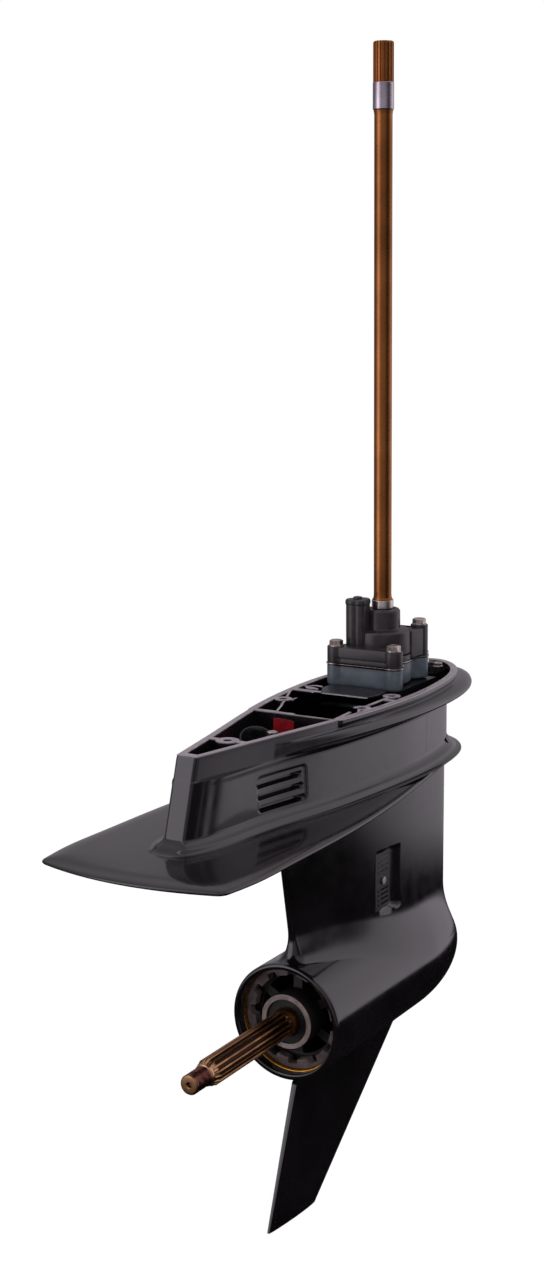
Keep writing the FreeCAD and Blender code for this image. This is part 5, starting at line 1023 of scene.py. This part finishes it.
# Brightness of the studio round the object, as (degrees from ahead towards starboard, share of full)
STUDIO = ((-180, 0.2), (-168, 0.24), (-158, 0.85), (-138, 1.0), (-126, 0.25), (-90, 0.08), (-60, 0.12),
          (-35, 0.16), (-18, 0.15), (0, 0.22), (14, 0.34), (26, 0.48), (46, 0.5), (54, 0.48), (60, 0.03),
          (63, 0.02), (66, 0.4), (69, 0.4), (72, 0.02), (76, 0.02), (78, 0.25), (80, 0.02), (105, 0.04),
          (125, 0.16), (150, 0.2), (180, 0.2))
STUDIO_FULL = 2.0
FLOOR_RADIUS, FLOOR_GAP = 1300.0, 0.4
WHITE_SHARE, WHITE_LEVEL = 0.88, 1.07
# Camera of the photograph: place in metres, turn round and above and tilt in degrees, lens in millimetres
CAMERA_AT = (0.91353, -1.74439, 0.41574)
CAMERA_ROUND, CAMERA_ABOVE, CAMERA_TILT, CAMERA_LENS = 31.015, 10.724, -0.5306, 53.66


def make_floor(colour):
    """Flat disc: pale to the lamps, white to the camera but for the object's shadow, and to gloss a painted
    dark reflection near the object.
    """
    floor_z = CAD_BOX[0][2] / MM - FLOOR_GAP
    angle = np.linspace(0.0, math.tau, 96, endpoint=False)
    radius = np.array([0.0, 400.0, 800.0, FLOOR_RADIUS])[::-1, None]
    grid = np.stack([radius * np.cos(angle), radius * np.sin(angle), np.full((4, 96), floor_z)], axis=-1)
    mesh = bpy.data.meshes.new("floor")
    points, quads = weave(grid, True)
    mesh.from_pydata(points * MM, [], quads.tolist())
    floor = bpy.data.objects.new("floor", mesh)
    bpy.context.scene.collection.objects.link(floor)
    material = bpy.data.materials.new("pale_studio_floor")
    material.use_nodes = True
    tree = material.node_tree
    tree.nodes.clear()
    path = add_node(tree, "LightPath").outputs
    white = math_node(tree, "MAXIMUM", math_node(tree, "MAXIMUM", path["Is Camera Ray"],
                                                 path["Is Transmission Ray"]), path["Is Glossy Ray"])
    paint = add_node(tree, "BsdfDiffuse", {"Color": tone(colour)})
    glow = add_node(tree, "Emission", {"Color": (1, 1, 1, 1), "Strength": WHITE_LEVEL})
    blend, output = add_node(tree, "MixShader"), add_node(tree, "OutputMaterial")
    link_all(tree, ((math_node(tree, "MULTIPLY", white, WHITE_SHARE), blend.inputs[0]),
                    (paint.outputs[0], blend.inputs[1]), (glow.outputs[0], blend.inputs[2])))
    # Gloss sees a painted dark reflection, a dark emission on the floor near the object, and past its edge
    # the studio
    far = add_node(tree, "VectorMath", {"operation": "LENGTH"})
    tree.links.new(add_node(tree, "TexCoord").outputs["Object"], far.inputs[0])
    edge = add_node(tree, "MapRange", {"From Min": 1.12, "From Max": 1.38}, Value=far.outputs["Value"])
    # Dark emission seen only by glossy rays inside the edge: a painted dark reflection for the torpedo's
    # underside
    painted_dark_reflection, clear = add_node(tree, "Emission", {"Color": tone("#161416")}), add_node(tree, "BsdfTransparent")
    below, seen = add_node(tree, "MixShader"), add_node(tree, "MixShader")
    link_all(tree, ((edge.outputs["Result"], below.inputs[0]), (painted_dark_reflection.outputs[0], below.inputs[1]),
                    (clear.outputs[0], below.inputs[2]), (path["Is Glossy Ray"], seen.inputs[0]),
                    (blend.outputs[0], seen.inputs[1]), (below.outputs[0], seen.inputs[2]),
                    (seen.outputs[0], output.inputs["Surface"])))
    mesh.materials.append(material)


def make_world():
    """White backdrop for camera and glass, a studio by direction for gloss, and a soft fill for the rest."""
    world = bpy.data.worlds.new("studio")
    bpy.context.scene.world = world
    world.use_nodes = True
    tree = world.node_tree
    tree.nodes.clear()
    path = add_node(tree, "LightPath").outputs
    way = add_node(tree, "SeparateXYZ", Vector=add_node(tree, "TexCoord").outputs["Generated"]).outputs
    round_share = math_node(tree, "MULTIPLY_ADD", math_node(tree, "ARCTAN2", way["X"], way["Y"]),
                            1.0 / math.tau, 0.5)
    ring = add_node(tree, "ValToRGB", Fac=round_share)
    stops = ring.color_ramp.elements
    for _ in range(len(STUDIO) - 2):
        stops.new(0.5)
    for stop, (degrees, share) in zip(stops, STUDIO):
        stop.position = degrees / 360.0 + 0.5
        stop.color = (share, share, share, 1.0)
    low = add_node(tree, "MapRange", {"From Min": -0.42, "From Max": -0.22, "To Min": 0.03},
                   Value=way["Z"]).outputs["Result"]
    over = add_node(tree, "MapRange", {"From Min": 0.3, "From Max": 0.62, "To Max": 0.3},
                    Value=way["Z"]).outputs["Result"]
    share = math_node(tree, "MAXIMUM", math_node(tree, "MULTIPLY", ring.outputs["Color"], low), over)
    flags = math_node(tree, "MULTIPLY", share, STUDIO_FULL)
    gloss = math_node(tree, "MULTIPLY", path["Is Glossy Ray"], math_node(tree, "SUBTRACT", 1.0,
                                                                         path["Is Camera Ray"]))
    strength = math_node(tree, "ADD", math_node(tree, "SUBTRACT", 1.0, gloss),
                         math_node(tree, "MULTIPLY", gloss, flags))
    backdrop = add_node(tree, "Background", Strength=strength)
    tint = add_node(tree, "Mix", {"data_type": "RGBA"})
    tint.inputs[6].default_value, tint.inputs[7].default_value = (1, 1, 1, 1), (0.98, 0.91, 1.0, 1)
    fill = add_node(tree, "Background", {"Color": (1, 1, 1, 1), "Strength": 0.42})
    mask = math_node(tree, "MAXIMUM", math_node(tree, "MAXIMUM", path["Is Camera Ray"],
                                                path["Is Transmission Ray"]), gloss)
    blend, output = add_node(tree, "MixShader"), add_node(tree, "OutputWorld")
    link_all(tree, ((gloss, tint.inputs["Factor"]), (tint.outputs[2], backdrop.inputs["Color"]),
                    (mask, blend.inputs[0]), (fill.outputs[0], blend.inputs[1]),
                    (backdrop.outputs[0], blend.inputs[2]), (blend.outputs[0], output.inputs["Surface"])))


def make_lamps_and_camera():
    """Three softboxes and the camera of the photograph."""
    scene = bpy.context.scene
    # Place and target in metres, size of the square in metres, power in watts
    for name, place, target, size, watts in (
            ("key_softbox", (1.4, -1.2, 1.7), (0.0, 0.0, 0.0), 1.1, 34.0),
            ("fill_softbox", (-1.9, -1.5, 0.9), (0.0, -0.1, -0.1), 1.3, 22.0),
            ("rim_softbox", (0.4, 2.2, 1.3), (0.0, 0.0, -0.1), 1.4, 20.0)):
        lamp = bpy.data.lights.new(name, "AREA")
        lamp.shape, lamp.size, lamp.energy = "SQUARE", size, watts
        holder = bpy.data.objects.new(name, lamp)
        holder.location = place
        holder.rotation_euler = (Vector(place) - Vector(target)).to_track_quat("Z", "Y").to_euler()
        holder.visible_glossy = False
        scene.collection.objects.link(holder)

    around, above, tilt = (math.radians(turn) for turn in (CAMERA_ROUND, CAMERA_ABOVE, CAMERA_TILT))
    back = Vector((math.sin(around) * math.cos(above), -math.cos(around) * math.cos(above), math.sin(above)))
    right = Vector((math.cos(around), math.sin(around), 0.0))
    up = back.cross(right)
    turned_right = right * math.cos(tilt) + up * math.sin(tilt)
    turned_up = up * math.cos(tilt) - right * math.sin(tilt)
    camera = bpy.data.objects.new("camera", bpy.data.cameras.new("camera"))
    camera.data.sensor_fit, camera.data.sensor_width, camera.data.lens = "AUTO", 36.0, CAMERA_LENS
    camera.data.clip_start, camera.data.clip_end = 0.05, 50.0
    rotation = Matrix((turned_right, turned_up, back)).transposed()
    camera.matrix_world = Matrix.Translation(Vector(CAMERA_AT)) @ rotation.to_4x4()
    scene.collection.objects.link(camera)
    scene.camera = camera
    scene.view_settings.view_transform = "Standard"


# Panel, sizes and colours


def colour_property(name, description, value):
    return FloatVectorProperty(name=name, description=description, subtype="COLOR", size=3, min=0.0, max=1.0,
                               default=hex_linear(value)[:3])


class UNIT_PG_colours(bpy.types.PropertyGroup):
    """Colours that an owner would change."""
    enamel: colour_property("Enamel", "Gloss enamel of the gear housing", "#0B090B")
    bare_metal: colour_property("Bare metal", "Machined rim and ribs of the deck", "#857B83")
    shaft_wash: colour_property("Shaft wash", "Brown wash on the driveshaft", "#9A6236")
    pump_plastic: colour_property("Pump plastic", "Moulded top of the water pump", "#231F22")
    pump_base: colour_property("Pump base", "Painted base of the water pump", "#454C54")
    tag: colour_property("Tag", "Plain tag in the rear chamber", "#6E0D15")
    floor: colour_property("Floor", "Studio floor", "#F2F1F1")


class UNIT_PG_sizes(bpy.types.PropertyGroup):
    """Sizes of the visible detail that can change without moving a joint or a mount."""
    slot_depth: FloatProperty(name="Slot depth", description="Depth of the three slots in the side",
                              unit="LENGTH", default=0.007, min=0.001, max=0.009)
    foot_fillet: FloatProperty(name="Foot fillet", description="Radius where the strut meets the torpedo",
                               unit="LENGTH", default=0.032, min=0.01, max=0.036)
    bolt_across: FloatProperty(name="Bolt head", description="Width across flats of the pump bolts",
                               unit="LENGTH", default=0.0124, min=0.008, max=0.014)
    spline_depth: FloatProperty(name="Spline depth", description="Depth of the propeller shaft's grooves",
                                unit="LENGTH", default=0.002, min=0.0005, max=0.003)


def sizes():
    return bpy.context.scene.unit_sizes


class UNIT_OT_finishes(bpy.types.Operator):
    """Makes the finishes and gives each carried-over solid its own"""
    bl_idname = "unit.finishes"
    bl_label = "Finishes"

    def execute(self, context):
        make_finishes(context.scene.unit_colours)
        carry_over()
        return {"FINISHED"}


class UNIT_OT_stage(bpy.types.Operator):
    """Sets up the floor, the studio, the lamps and the camera"""
    bl_idname = "unit.stage"
    bl_label = "Stage"

    def execute(self, context):
        colours = context.scene.unit_colours
        make_floor(colours.floor)
        make_world()
        make_lamps_and_camera()
        return {"FINISHED"}


class UNIT_OT_housing(bpy.types.Operator):
    """Builds the gear housing: body and splash lip, plate, strut, torpedo and skeg"""
    bl_idname = "unit.housing"
    bl_label = "Gear housing"

    def execute(self, context):
        for make in (make_upper_body, make_plate, make_strut, make_torpedo, make_skeg):
            make()
        return {"FINISHED"}


class UNIT_OT_deck(bpy.types.Operator):
    """Builds the deck's chambers and ribs, and the fittings that stand in them"""
    bl_idname = "unit.deck"
    bl_label = "Deck and fittings"

    def execute(self, context):
        make_deck()
        make_fittings()
        return {"FINISHED"}


class UNIT_OT_pump(bpy.types.Operator):
    """Builds the water pump: base, plate, housing, outlet cap and bolts"""
    bl_idname = "unit.pump"
    bl_label = "Water pump"

    def execute(self, context):
        make_pump()
        return {"FINISHED"}


class UNIT_OT_driveshaft(bpy.types.Operator):
    """Builds the driveshaft with its bearing band and top spline"""
    bl_idname = "unit.driveshaft"
    bl_label = "Driveshaft"

    def execute(self, context):
        make_driveshaft()
        return {"FINISHED"}


class UNIT_OT_prop_shaft(bpy.types.Operator):
    """Builds the propeller shaft with its spline and thread"""
    bl_idname = "unit.prop_shaft"
    bl_label = "Propeller shaft"

    def execute(self, context):
        make_prop_shaft()
        return {"FINISHED"}


class UNIT_OT_carrier_end(bpy.types.Operator):
    """Builds the notched ring nut of the bearing carrier"""
    bl_idname = "unit.carrier_end"
    bl_label = "Ring nut"

    def execute(self, context):
        make_carrier_end()
        return {"FINISHED"}


STEPS = (UNIT_OT_finishes, UNIT_OT_stage, UNIT_OT_housing, UNIT_OT_deck, UNIT_OT_pump, UNIT_OT_driveshaft,
         UNIT_OT_prop_shaft, UNIT_OT_carrier_end)


class UNIT_PT_panel(bpy.types.Panel):
    """Lists the steps, sizes and colours"""
    bl_idname = "UNIT_PT_panel"
    bl_label = "Outboard Lower Unit"
    bl_space_type = "VIEW_3D"
    bl_region_type = "UI"
    bl_category = "Lower Unit"

    def draw(self, context):
        for step in STEPS:
            self.layout.operator(step.bl_idname)
        for group in (context.scene.unit_sizes, context.scene.unit_colours):
            for name in group.__annotations__:
                self.layout.prop(group, name)


CLASSES = (UNIT_PG_sizes, UNIT_PG_colours) + STEPS + (UNIT_PT_panel,)


def register():
    for item in CLASSES:
        bpy.utils.register_class(item)
    bpy.types.Scene.unit_sizes = PointerProperty(type=UNIT_PG_sizes)
    bpy.types.Scene.unit_colours = PointerProperty(type=UNIT_PG_colours)


def unregister():
    del bpy.types.Scene.unit_colours
    del bpy.types.Scene.unit_sizes
    for item in reversed(CLASSES):
        bpy.utils.unregister_class(item)


def main():
    register()
    for step in STEPS:
        group, name = step.bl_idname.split(".")
        getattr(getattr(bpy.ops, group), name)()


if __name__ == "__main__":
    main()
